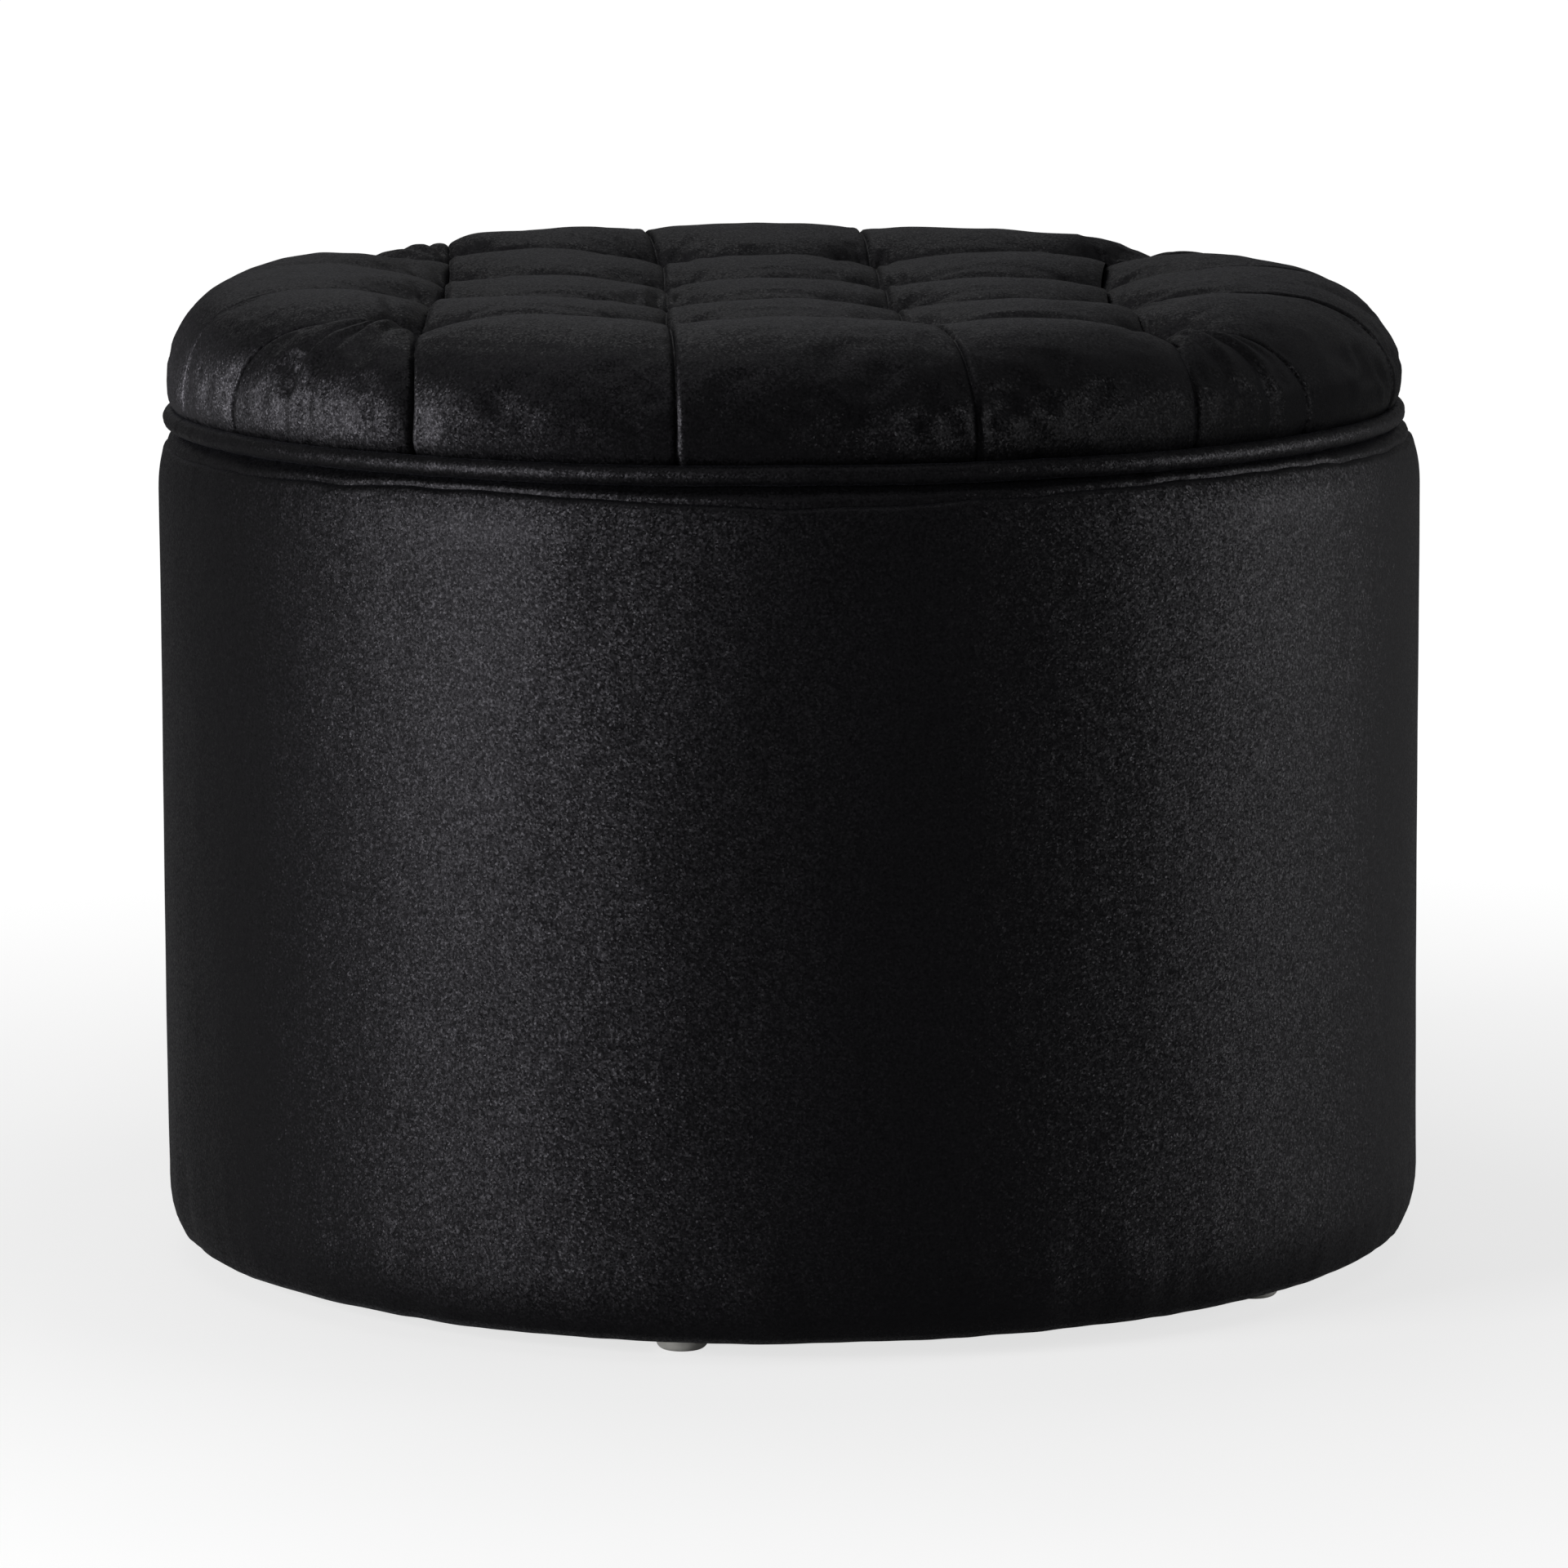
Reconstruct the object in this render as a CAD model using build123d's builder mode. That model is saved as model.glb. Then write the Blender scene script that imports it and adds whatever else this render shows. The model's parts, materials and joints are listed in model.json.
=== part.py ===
from build123d import *
import math
import os

os.makedirs("parts", exist_ok=True)

# Sizes of the whole ottoman in mm: floor at z = 0, upright axis at the origin, front towards -Y.
body_diameter = 560.0
rim_height = 368.0
lid_setback = 6.7
lid_height = 69.5

# Soft edges of the drum, each a quarter of an ellipse.
shoulder_width = 12.0
shoulder_height = 27.0
heel_width = 10.0
heel_height = 30.0
rim_corner = 6.0
seam_drop = 6.0
rim_skirt = 40.0

# Thicknesses of cloth, board and foam.
velvet = 1.5
lining = 1.0
dust_cloth = 0.8
hardboard = 3.0
inner_board = 2.5
plywood = 15.0
side_foam = 17.0
rim_foam = 10.0

# Clearances: curved layers lie this far apart, and the cleats clear the rim by the second.
fit = 0.3
lid_clearance = 3.0

# Frame of the drum.
post_count = 8
post_width = 40.0
post_depth = 20.0
hem_width = 40.0
screw_length = 42.0
screw_radius = 2.0
screw_head = 4.0

# Glides nailed under the drum.
glide_angles = (-101.0, -35.5, 38.0, 104.0, 181.0)
glide_inset = 35.0
glide_height = 7.0
glide_radius = 11.0
glide_foot = 8.5
nail_radius = 1.3
nail_head = 4.0
nail_length = 15.0

# Tufted lid.
tuft_count = 4
tuft_pitch = 98.0
tuft_depth = 30.0
channel_depth = 12.0
crown_dip = 8.0
roll_width = 68.0
brow_width = 15.3
brow_drop = 12.0
bulge_drop = 40.5
waist_draw = 1.8
foam_cover = 15.0
foam_edge = 24.0
well_radius = 18.0
button_radius = 9.6
button_height = 8.0
tie_radius = 1.0
washer_radius = 8.0
washer_thickness = 1.2
counterbore_depth = 4.0
welt_radius = 4.5
welt_inset = 2.1

# Cleats that keep the lid in place.
cleat_count = 4
cleat_width = 90.0
cleat_depth = 22.0
cleat_height = 15.0
cleat_screw_length = 26.0

# Radii and heights that follow from the sizes above.
body_radius = body_diameter / 2
cloth = velvet + fit
drum_outer = body_radius - cloth - side_foam - fit
frame_radius = drum_outer - hardboard - fit
post_outer = math.sqrt(frame_radius**2 - (post_width / 2) ** 2)
post_inner = post_outer - post_depth
post_middle = (post_outer + post_inner) / 2
inner_wall_outer = post_inner - fit
inner_wall_inner = inner_wall_outer - inner_board
lining_outer = inner_wall_inner - fit
lining_inner = lining_outer - lining
rim_opening = inner_wall_inner - cloth
hem_radius = body_radius - heel_width - hem_width
glide_circle = body_radius - glide_inset

hem_bottom = glide_height + dust_cloth
board_bottom = hem_bottom + velvet
board_top = board_bottom + plywood
ring_top = rim_height - cloth - rim_foam
ring_bottom = ring_top - plywood
seam_height = rim_height - seam_drop
skirt_bottom = rim_height - rim_skirt

lid_radius = body_radius - lid_setback
lid_crest = rim_height + lid_height
lid_hem_bottom = rim_height + lining
lid_board_bottom = lid_hem_bottom + velvet
lid_board_top = lid_board_bottom + plywood
welt_ring = lid_radius - welt_inset
welt_height = rim_height + welt_radius
waist = welt_ring - welt_radius - fit
lid_board_radius = waist - cloth
cleat_outer = rim_opening - lid_clearance
lid_hem_radius = (lid_board_radius + cleat_outer) / 2
foam_radius = lid_board_radius + 2
foam_top = lid_crest - foam_cover
tuft_floor = lid_crest - tuft_depth
well_floor = tuft_floor - 2 * velvet
washer_top = lid_board_bottom + counterbore_depth
washer_bottom = washer_top - washer_thickness
cleat_bottom = rim_height - cleat_height

tuft_spots = GridLocations(tuft_pitch, tuft_pitch, tuft_count, tuft_count).locations
tuft_lines = [(i - (tuft_count - 1) / 2) * tuft_pitch for i in range(tuft_count)]
post_angles = [360 / post_count * (i + 0.5) for i in range(post_count)]
glide_spots = [PolarLocations(glide_circle, 1, angle).locations[0] for angle in glide_angles]
post_spots = PolarLocations(post_middle, post_count, post_angles[0]).locations

at_base = (Align.CENTER, Align.CENTER, Align.MIN)
base_screws = [Location((s.position.X, s.position.Y, board_bottom)) for s in post_spots]
ring_screws = [Location((s.position.X, s.position.Y, ring_top), (180, 0, 0)) for s in post_spots]
cleat_screw_circle = cleat_outer - cleat_depth / 2
cleat_places = PolarLocations(0, cleat_count, 0).locations
cleat_spots = [
    place * Location((cleat_screw_circle, side * cleat_width / 3, cleat_bottom))
    for place in cleat_places
    for side in (-1, 1)
]


def keep(shape, name):
    """Names a finished piece and writes it to its own file."""
    shape.label = name
    export_step(shape, f"parts/{name}.step")


def drum_outline(inset, inner, corner):
    """Half section of the drum from radius inner outwards, drawn in by inset on every soft side."""
    low = hem_bottom + inset
    high = rim_height - inset
    with BuildSketch() as outline:
        with BuildLine():
            heel = EllipticalCenterArc(
                (body_radius - heel_width, hem_bottom + heel_height),
                heel_width - inset,
                heel_height - inset,
                start_angle=270,
                arc_size=90,
            )
            shoulder = EllipticalCenterArc(
                (body_radius - shoulder_width, rim_height - shoulder_height),
                shoulder_width - inset,
                shoulder_height - inset,
                start_angle=0,
                arc_size=90,
            )
            Line(heel @ 1, shoulder @ 0)
            Polyline(shoulder @ 1, (inner, high), (inner, low), heel @ 0)
        make_face()
        if corner > 0:
            fillet(outline.vertices().group_by(Axis.X)[0].sort_by(Axis.Y)[-1], corner)
    return outline.sketch_local


def band(inner, outer, low, high, mode):
    """Rectangle of a half section between two radii and two heights."""
    with Locations(((inner + outer) / 2, (low + high) / 2)):
        Rectangle(outer - inner, high - low, mode=mode)


def tube(inner, outer, low, high):
    """Upright tube between two radii and two heights."""
    with BuildPart() as wall:
        with BuildSketch(Plane.XY.offset(low)):
            Circle(outer)
            Circle(inner, mode=Mode.SUBTRACT)
        extrude(amount=high - low)
    return wall.part


def wood_screw(length, slack):
    """Countersunk screw with its head at the origin and its point up; slack widens it to a hole."""
    shank = screw_radius + slack
    head = screw_head + slack
    with BuildPart() as screw:
        with BuildSketch(Plane.XZ):
            with BuildLine():
                Polyline(
                    (0, 0),
                    (head, 0),
                    (shank, screw_head - screw_radius),
                    (shank, length - 2 * screw_radius),
                    (0, length + slack),
                    close=True,
                )
            make_face()
        revolve()
    return screw.part


def nail(slack):
    """Nail of a glide with its point up; slack widens it to a hole."""
    head_low = glide_height * 0.42
    head_high = head_low + 1.2
    shank = nail_radius + slack
    tip = glide_height + nail_length
    with BuildPart() as pin:
        with BuildSketch(Plane.XZ):
            with BuildLine():
                Polyline(
                    (0, head_low - slack),
                    (nail_head + slack, head_low - slack),
                    (nail_head + slack, head_high + slack),
                    (shank, head_high + slack),
                    (shank, tip - 2 * nail_radius),
                    (0, tip + slack),
                    close=True,
                )
            make_face()
        revolve()
    return pin.part


def foam_pad(slack):
    """Foam of the lid with a round upper edge and a well for every tuft; slack widens it."""
    with BuildPart() as pad:
        with Locations((0, 0, lid_board_top)):
            Cylinder(foam_radius + slack, foam_top + slack - lid_board_top, align=at_base)
        fillet(pad.faces().sort_by(Axis.Z)[-1].edges(), foam_edge)
        with Locations(*[spot * Location((0, 0, well_floor + slack)) for spot in tuft_spots]):
            Cylinder(well_radius - slack, lid_crest, align=at_base, mode=Mode.SUBTRACT)
    return pad.part


def bowed(start, end, rise):
    """Arc from start to end that stands off its chord by rise, to the right of the way along it."""
    across, up = end[0] - start[0], end[1] - start[1]
    share = rise / math.hypot(across, up)
    middle = ((start[0] + end[0]) / 2 + up * share, (start[1] + end[1]) / 2 - across * share)
    return ThreePointArc(start, middle, end)


def channel():
    """Section of a tuft channel: a fold between two pillows, each side of it two arcs."""
    low = lid_crest - channel_depth
    flank = (tuft_pitch * 0.1, low + channel_depth * 0.58)
    end = (tuft_pitch * 0.47, lid_crest + channel_depth * 0.1)
    near = (tuft_pitch * 0.037, low + channel_depth * 0.33)
    far = (tuft_pitch * 0.255, lid_crest - channel_depth * 0.06)
    with BuildSketch() as fold:
        with BuildLine():
            ThreePointArc((0, low), near, flank)
            ThreePointArc(flank, far, end)
            Polyline(end, (end[0], lid_crest + 8), (0, lid_crest + 8))
            mirror(about=Plane.YZ)
        make_face()
    return fold.sketch_local


# Wooden frame of the drum.
base_screw_hole = wood_screw(screw_length, 0.1)
nail_hole = nail(0.1)

with BuildPart() as bottom_board:
    with Locations((0, 0, board_bottom)):
        Cylinder(frame_radius, plywood, align=at_base)
    with Locations(*base_screws):
        add(base_screw_hole, mode=Mode.SUBTRACT)
    with Locations(*glide_spots):
        add(nail_hole, mode=Mode.SUBTRACT)
keep(bottom_board.part, "bottom_board")

for number, angle in enumerate(post_angles):
    with BuildPart() as post:
        with PolarLocations(post_middle, 1, angle):
            with Locations((0, 0, board_top)):
                Box(post_depth, post_width, ring_bottom - board_top, align=at_base)
        with Locations(base_screws[number], ring_screws[number]):
            add(base_screw_hole, mode=Mode.SUBTRACT)
    keep(post.part, f"post_{number + 1}")

with BuildPart() as top_ring:
    add(tube(inner_wall_inner, frame_radius, ring_bottom, ring_top))
    with Locations(*ring_screws):
        add(base_screw_hole, mode=Mode.SUBTRACT)
keep(top_ring.part, "top_ring")

with BuildPart() as post_screws:
    with Locations(*base_screws, *ring_screws):
        add(wood_screw(screw_length, 0))
keep(post_screws.part, "post_screws")

with BuildPart() as drum_wall:
    add(tube(drum_outer - hardboard, drum_outer, board_bottom, ring_top))
keep(drum_wall.part, "drum_wall")

with BuildPart() as inner_wall:
    add(tube(inner_wall_inner, inner_wall_outer, board_top, ring_bottom))
keep(inner_wall.part, "inner_wall")

# Foam and velvet of the drum.
with BuildPart() as foam_wrap:
    with BuildSketch(Plane.XZ):
        add(drum_outline(cloth, drum_outer + fit, 0))
        band(0, body_radius, board_bottom, ring_top, Mode.INTERSECT)
    revolve()
keep(foam_wrap.part, "foam_wrap")

with BuildPart() as rim_pad:
    with BuildSketch(Plane.XZ):
        add(drum_outline(cloth, rim_opening + cloth, rim_corner - cloth))
        band(0, body_radius, ring_top, rim_height, Mode.INTERSECT)
    revolve()
keep(rim_pad.part, "rim_pad")

with BuildPart() as side_cover:
    with BuildSketch(Plane.XZ):
        add(drum_outline(0, hem_radius, 0))
        add(drum_outline(velvet, hem_radius, 0), mode=Mode.SUBTRACT)
        band(0, body_radius, 0, seam_height, Mode.INTERSECT)
    revolve()
    with Locations(*glide_spots):
        add(nail_hole, mode=Mode.SUBTRACT)
keep(side_cover.part, "side_cover")

with BuildPart() as rim_cover:
    with BuildSketch(Plane.XZ):
        add(drum_outline(0, rim_opening, rim_corner))
        add(drum_outline(velvet, rim_opening + velvet, rim_corner - velvet), mode=Mode.SUBTRACT)
        band(0, body_radius, skirt_bottom, rim_height, Mode.INTERSECT)
        band(frame_radius, body_radius, 0, seam_height, Mode.SUBTRACT)
    revolve()
keep(rim_cover.part, "rim_cover")

# Linings of the storage space and the dust cover under it.
with BuildPart() as wall_lining:
    add(tube(lining_inner, lining_outer, board_top, skirt_bottom))
keep(wall_lining.part, "wall_lining")

with BuildPart() as floor_lining:
    with Locations((0, 0, board_top)):
        Cylinder(lining_inner - fit, lining, align=at_base)
keep(floor_lining.part, "floor_lining")

with BuildPart() as dust_cover:
    with Locations((0, 0, glide_height)):
        Cylinder(frame_radius - velvet, dust_cloth, align=at_base)
    with Locations(*glide_spots):
        add(nail_hole, mode=Mode.SUBTRACT)
keep(dust_cover.part, "dust_cover")

# Glides and their nails.
with BuildPart() as glide_form:
    with BuildSketch(Plane.XZ):
        with BuildLine():
            Polyline((0, glide_height), (0, 0), (glide_foot, 0))
            ThreePointArc(
                (glide_foot, 0),
                (glide_radius - 0.8, glide_height * 0.17),
                (glide_radius, glide_height * 0.45),
            )
            Line((glide_radius, glide_height * 0.45), (glide_radius, glide_height - 1))
            Line((glide_radius, glide_height - 1), (glide_radius - 1, glide_height))
            Line((glide_radius - 1, glide_height), (0, glide_height))
        make_face()
    revolve()
    add(nail(0.05), mode=Mode.SUBTRACT)

for number, spot in enumerate(glide_spots):
    with BuildPart() as glide:
        with Locations(spot):
            add(glide_form.part)
    keep(glide.part, f"glide_{number + 1}")

with BuildPart() as glide_nails:
    with Locations(*glide_spots):
        add(nail(0))
keep(glide_nails.part, "glide_nails")

# Board and foam of the lid.
cleat_screw_hole = wood_screw(cleat_screw_length, 0.1)

with BuildPart() as lid_board:
    with Locations((0, 0, lid_board_bottom)):
        Cylinder(lid_board_radius, plywood, align=at_base)
    with Locations(*[spot * Location((0, 0, lid_board_bottom)) for spot in tuft_spots]):
        Cylinder(2.5 * tie_radius, plywood, align=at_base, mode=Mode.SUBTRACT)
        Cylinder(washer_radius + 0.5, counterbore_depth, align=at_base, mode=Mode.SUBTRACT)
    with Locations(*cleat_spots):
        add(cleat_screw_hole, mode=Mode.SUBTRACT)
keep(lid_board.part, "lid_board")

with BuildPart() as lid_foam:
    add(foam_pad(0))
    with Locations(*[spot * Location((0, 0, lid_board_top)) for spot in tuft_spots]):
        Cylinder(2 * tie_radius, lid_height, align=at_base, mode=Mode.SUBTRACT)
keep(lid_foam.part, "lid_foam")

# Tuft well pressed into the velvet: a flat floor for the button and a flaring side.
with BuildPart() as tuft_well:
    with BuildSketch(Plane.XZ):
        with BuildLine():
            floor_edge = (button_radius + 0.7, tuft_floor)
            flare_edge = (tuft_pitch * 0.27, lid_crest + 2)
            flare_middle = (button_radius + 4.0, tuft_floor + tuft_depth / 2)
            Polyline((0, lid_crest + 2), (0, tuft_floor), floor_edge)
            ThreePointArc(floor_edge, flare_middle, flare_edge)
            Line(flare_edge, (0, lid_crest + 2))
        make_face()
    revolve()

# Tufted velvet of the lid with its fibre backing: crown, rolled side, drawn-in waist and hem.
with BuildPart() as lid_cover:
    with BuildSketch(Plane.XZ):
        with BuildLine():
            waist_low = (waist + welt_radius / 4, lid_hem_bottom)
            waist_high = (lid_radius - waist_draw, welt_height + welt_radius + fit)
            bulge = (lid_radius, lid_crest - bulge_drop)
            brow = (lid_radius - brow_width, lid_crest - brow_drop)
            roll_top = (lid_radius - roll_width, lid_crest)
            dish = (tuft_pitch / 2, lid_crest - crown_dip)
            Polyline(dish, (0, dish[1]), (0, lid_hem_bottom), waist_low, waist_high)
            bowed(waist_high, bulge, 0.4)
            bowed(bulge, brow, 5.0)
            bowed(brow, roll_top, 3.3)
            bowed(roll_top, dish, -1.5)
        make_face()
        with Locations((welt_ring, welt_height)):
            Circle(welt_radius + fit, mode=Mode.SUBTRACT)
    revolve()
    with Locations((0, 0, lid_hem_bottom)):
        Cylinder(lid_hem_radius, velvet, align=at_base, mode=Mode.SUBTRACT)
    with Locations((0, 0, lid_board_bottom)):
        Cylinder(lid_board_radius + fit, plywood, align=at_base, mode=Mode.SUBTRACT)
    add(foam_pad(fit), mode=Mode.SUBTRACT)
    with BuildSketch(Plane.XZ):
        with Locations(*[(offset, 0) for offset in tuft_lines]):
            add(channel())
    extrude(amount=lid_radius, both=True, mode=Mode.SUBTRACT)
    with BuildSketch(Plane.YZ):
        with Locations(*[(offset, 0) for offset in tuft_lines]):
            add(channel())
    extrude(amount=lid_radius, both=True, mode=Mode.SUBTRACT)
    with Locations(*tuft_spots):
        add(tuft_well.part, mode=Mode.SUBTRACT)
    with Locations(*[spot * Location((0, 0, lid_board_top)) for spot in tuft_spots]):
        Cylinder(tie_radius + fit, lid_height, align=at_base, mode=Mode.SUBTRACT)
keep(lid_cover.part, "lid_cover")

# Welt round the lower edge of the lid: a cord in a velvet sleeve.
with BuildPart() as welt_cord:
    with Locations((0, 0, welt_height)):
        Torus(welt_ring, welt_radius - cloth)
keep(welt_cord.part, "welt_cord")

with BuildPart() as welt_sleeve:
    with Locations((0, 0, welt_height)):
        Torus(welt_ring, welt_radius)
        Torus(welt_ring, welt_radius - velvet, mode=Mode.SUBTRACT)
keep(welt_sleeve.part, "welt_sleeve")

# Covered tuft buttons with their ties and washers.
with BuildPart() as button_form:
    with BuildSketch(Plane.XZ):
        with BuildLine():
            foot = (button_radius - 1.2, tuft_floor)
            widest = (button_radius, tuft_floor + button_height * 0.2)
            brim = (button_radius, tuft_floor + button_height * 0.4)
            crown = (button_radius * 0.3, tuft_floor + button_height)
            Polyline(crown, (0, crown[1]), (0, tuft_floor), foot, widest, brim)
            bowed(brim, crown, 1.4)
        make_face()
    revolve()

for number, spot in enumerate(tuft_spots):
    with BuildPart() as tuft_button:
        with Locations(spot):
            add(button_form.part)
    keep(tuft_button.part, f"tuft_button_{number + 1}")

with BuildPart() as tuft_ties:
    with Locations(*[spot * Location((0, 0, washer_bottom)) for spot in tuft_spots]):
        Cylinder(tie_radius, tuft_floor - washer_bottom, align=at_base)
    with Locations(*[spot * Location((0, 0, lid_board_bottom + 0.6)) for spot in tuft_spots]):
        Cylinder(2.4 * tie_radius, washer_bottom - lid_board_bottom - 0.6, align=at_base)
keep(tuft_ties.part, "tuft_ties")

with BuildPart() as tuft_washers:
    with Locations(*[spot * Location((0, 0, washer_bottom)) for spot in tuft_spots]):
        Cylinder(washer_radius, washer_thickness, align=at_base)
        Cylinder(tie_radius + fit, washer_thickness, align=at_base, mode=Mode.SUBTRACT)
keep(tuft_washers.part, "tuft_washers")

# Underside of the lid.
with BuildPart() as lid_lining:
    with Locations((0, 0, rim_height)):
        Cylinder(lid_board_radius - 2, lining, align=at_base)
    with Locations(*cleat_spots):
        add(cleat_screw_hole, mode=Mode.SUBTRACT)
keep(lid_lining.part, "lid_lining")

for number, place in enumerate(cleat_places):
    with BuildPart() as cleat:
        with BuildSketch(Plane.XY.offset(cleat_bottom)):
            Circle(cleat_outer)
            with Locations(place * Location((cleat_outer - cleat_depth / 2, 0, 0))):
                Rectangle(cleat_depth, cleat_width, mode=Mode.INTERSECT)
        extrude(amount=cleat_height)
        with Locations(*cleat_spots):
            add(cleat_screw_hole, mode=Mode.SUBTRACT)
    keep(cleat.part, f"locating_cleat_{number + 1}")

with BuildPart() as cleat_screws:
    with Locations(*cleat_spots):
        add(wood_screw(cleat_screw_length, 0))
keep(cleat_screws.part, "cleat_screws")
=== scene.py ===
"""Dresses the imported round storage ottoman: tufted velvet lid, velvet drum, welt, linings and studio."""

import json
import logging
import math
from dataclasses import dataclass, field
from enum import Enum
from typing import Iterable, Sequence

import bmesh
import bpy
import numpy as np
from mathutils import Matrix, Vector
from mathutils.kdtree import KDTree

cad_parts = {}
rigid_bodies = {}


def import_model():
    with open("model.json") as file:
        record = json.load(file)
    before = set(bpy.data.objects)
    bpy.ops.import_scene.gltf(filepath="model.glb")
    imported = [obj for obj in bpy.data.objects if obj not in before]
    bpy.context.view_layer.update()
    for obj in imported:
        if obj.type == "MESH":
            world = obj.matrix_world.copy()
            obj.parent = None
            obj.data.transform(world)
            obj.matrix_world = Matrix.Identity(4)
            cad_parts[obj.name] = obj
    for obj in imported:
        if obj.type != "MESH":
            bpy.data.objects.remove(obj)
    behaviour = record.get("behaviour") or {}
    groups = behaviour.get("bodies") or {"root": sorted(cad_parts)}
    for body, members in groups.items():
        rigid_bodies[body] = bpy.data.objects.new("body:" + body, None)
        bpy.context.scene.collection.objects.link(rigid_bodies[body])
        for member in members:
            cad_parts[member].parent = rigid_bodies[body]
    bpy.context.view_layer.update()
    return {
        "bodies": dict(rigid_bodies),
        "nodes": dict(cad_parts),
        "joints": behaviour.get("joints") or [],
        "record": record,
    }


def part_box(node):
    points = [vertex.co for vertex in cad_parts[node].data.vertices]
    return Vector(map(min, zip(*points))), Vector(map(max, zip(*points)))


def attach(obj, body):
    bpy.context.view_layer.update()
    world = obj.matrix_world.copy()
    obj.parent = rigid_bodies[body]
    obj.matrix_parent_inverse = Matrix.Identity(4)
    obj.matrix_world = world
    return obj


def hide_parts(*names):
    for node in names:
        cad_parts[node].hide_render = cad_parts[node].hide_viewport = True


Array = np.ndarray
Colour = tuple[float, float, float]
Material = bpy.types.Material
Socket = bpy.types.NodeSocket
Thing = bpy.types.Object

MM = 0.001
FULL_TURN = 2 * math.pi
NOISE_RANGE = (0.3, 0.7)
LOG = logging.getLogger("ottoman")


class Body(Enum):
    """The bodies that pieces ride on."""

    BASE = "base"
    LID = "lid"


class Slot(Enum):
    """The record's material slots."""

    VELVET = "velvet"
    PLYWOOD = "plywood"
    PINE = "pine"
    HARDBOARD = "hardboard"
    FOAM = "foam"
    LINING = "lining_cloth"
    GLIDE = "glide_plastic"
    CORD = "cord"
    STEEL = "zinc_steel"


@dataclass(frozen=True)
class Ripple:
    """A smooth seeded field of small waves.

    Attributes:
        seed: Seed of the waves' directions and phases.
        wavelength: Middle length of a wave, in millimetres.
        count: Number of waves added up.
    """

    seed: int
    wavelength: float
    count: int = 22

    def at(self, *axes: Array) -> Array:
        """Gives the field at some points.

        Args:
            axes: Coordinates in millimetres, one array for each axis.

        Returns:
            Values of about -1 to 1.
        """
        rng = np.random.default_rng(self.seed)
        total = np.zeros_like(axes[0], dtype=float)
        for _ in range(self.count):
            heading = rng.normal(size=len(axes))
            heading /= np.linalg.norm(heading)
            turn = FULL_TURN / (self.wavelength * rng.uniform(0.65, 1.6))
            phase = rng.uniform(0, FULL_TURN)
            along = sum(h * a for h, a in zip(heading, axes))
            total = total + np.sin(along * turn + phase)
        return total / math.sqrt(self.count) * 0.75


@dataclass(frozen=True)
class Profile:
    """A smooth outline in the radius and height plane, walked by its length.

    Attributes:
        length: Distance along the outline of each station, in millimetres.
        radius: Radius of each station.
        height: Height of each station.
    """

    length: Array
    radius: Array
    height: Array

    @classmethod
    def through(cls, points: Sequence[tuple[float, float]], blur: float) -> "Profile":
        """Makes a rounded outline past some corner points.

        Args:
            points: Radius and height of the corners.
            blur: Length over which corners are rounded, in millimetres.

        Returns:
            The outline, with a station about every half millimetre.
        """
        bends = np.array(points, dtype=float)
        steps = np.linalg.norm(np.diff(bends, axis=0), axis=1)
        walked = np.concatenate([[0.0], np.cumsum(steps)])
        even = np.linspace(0, walked[-1], int(walked[-1] * 2) + 2)
        line = np.stack([np.interp(even, walked, bends[:, i]) for i in (0, 1)], axis=1)
        half = max(1, int(blur))
        weights = np.hanning(2 * half + 3)[1:-1]
        weights /= weights.sum()
        head = 2 * line[0] - line[half:0:-1]
        tail = 2 * line[-1] - line[-2 : -half - 2 : -1]
        long = np.concatenate([head, line, tail])
        soft = np.stack([np.convolve(long[:, i], weights, "valid") for i in (0, 1)], axis=1)
        steps = np.linalg.norm(np.diff(soft, axis=0), axis=1)
        return cls(np.concatenate([[0.0], np.cumsum(steps)]), soft[:, 0], soft[:, 1])

    @property
    def end(self) -> float:
        """Length of the whole outline."""
        return float(self.length[-1])

    def at(self, length: Array) -> tuple[Array, Array]:
        """Gives the outline's points.

        Args:
            length: Distances along the outline.

        Returns:
            Radius and height at these distances.
        """
        radius = np.interp(length, self.length, self.radius)
        return radius, np.interp(length, self.length, self.height)

    def normal(self, length: Array) -> tuple[Array, Array]:
        """Gives the direction that the skin faces.

        Args:
            length: Distances along the outline.

        Returns:
            The normal's radius and height parts.
        """
        slope_r = np.gradient(self.radius, self.length)
        slope_z = np.gradient(self.height, self.length)
        across = np.interp(length, self.length, -slope_z)
        up = np.interp(length, self.length, slope_r)
        size = np.hypot(across, up)
        return across / size, up / size


def around(angle: Array, radius: Array, height: Array) -> Array:
    """Turns round coordinates into points.

    Args:
        angle: Angle from the front towards the right, in radians.
        radius: Radius in millimetres.
        height: Height in millimetres.

    Returns:
        Points with a last axis of x, y and z.
    """
    angle, radius, height = np.broadcast_arrays(angle, radius, height)
    return np.stack([radius * np.sin(angle), -radius * np.cos(angle), height], axis=-1)


def ease(value: Array, low: float, high: float) -> Array:
    """A smooth step.

    Args:
        value: Values to step.
        low: Where the step starts, at 0.
        high: Where it ends, at 1.

    Returns:
        Values of 0 to 1.
    """
    t = np.clip((value - low) / (high - low), 0, 1)
    return t * t * (3 - 2 * t)


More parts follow.
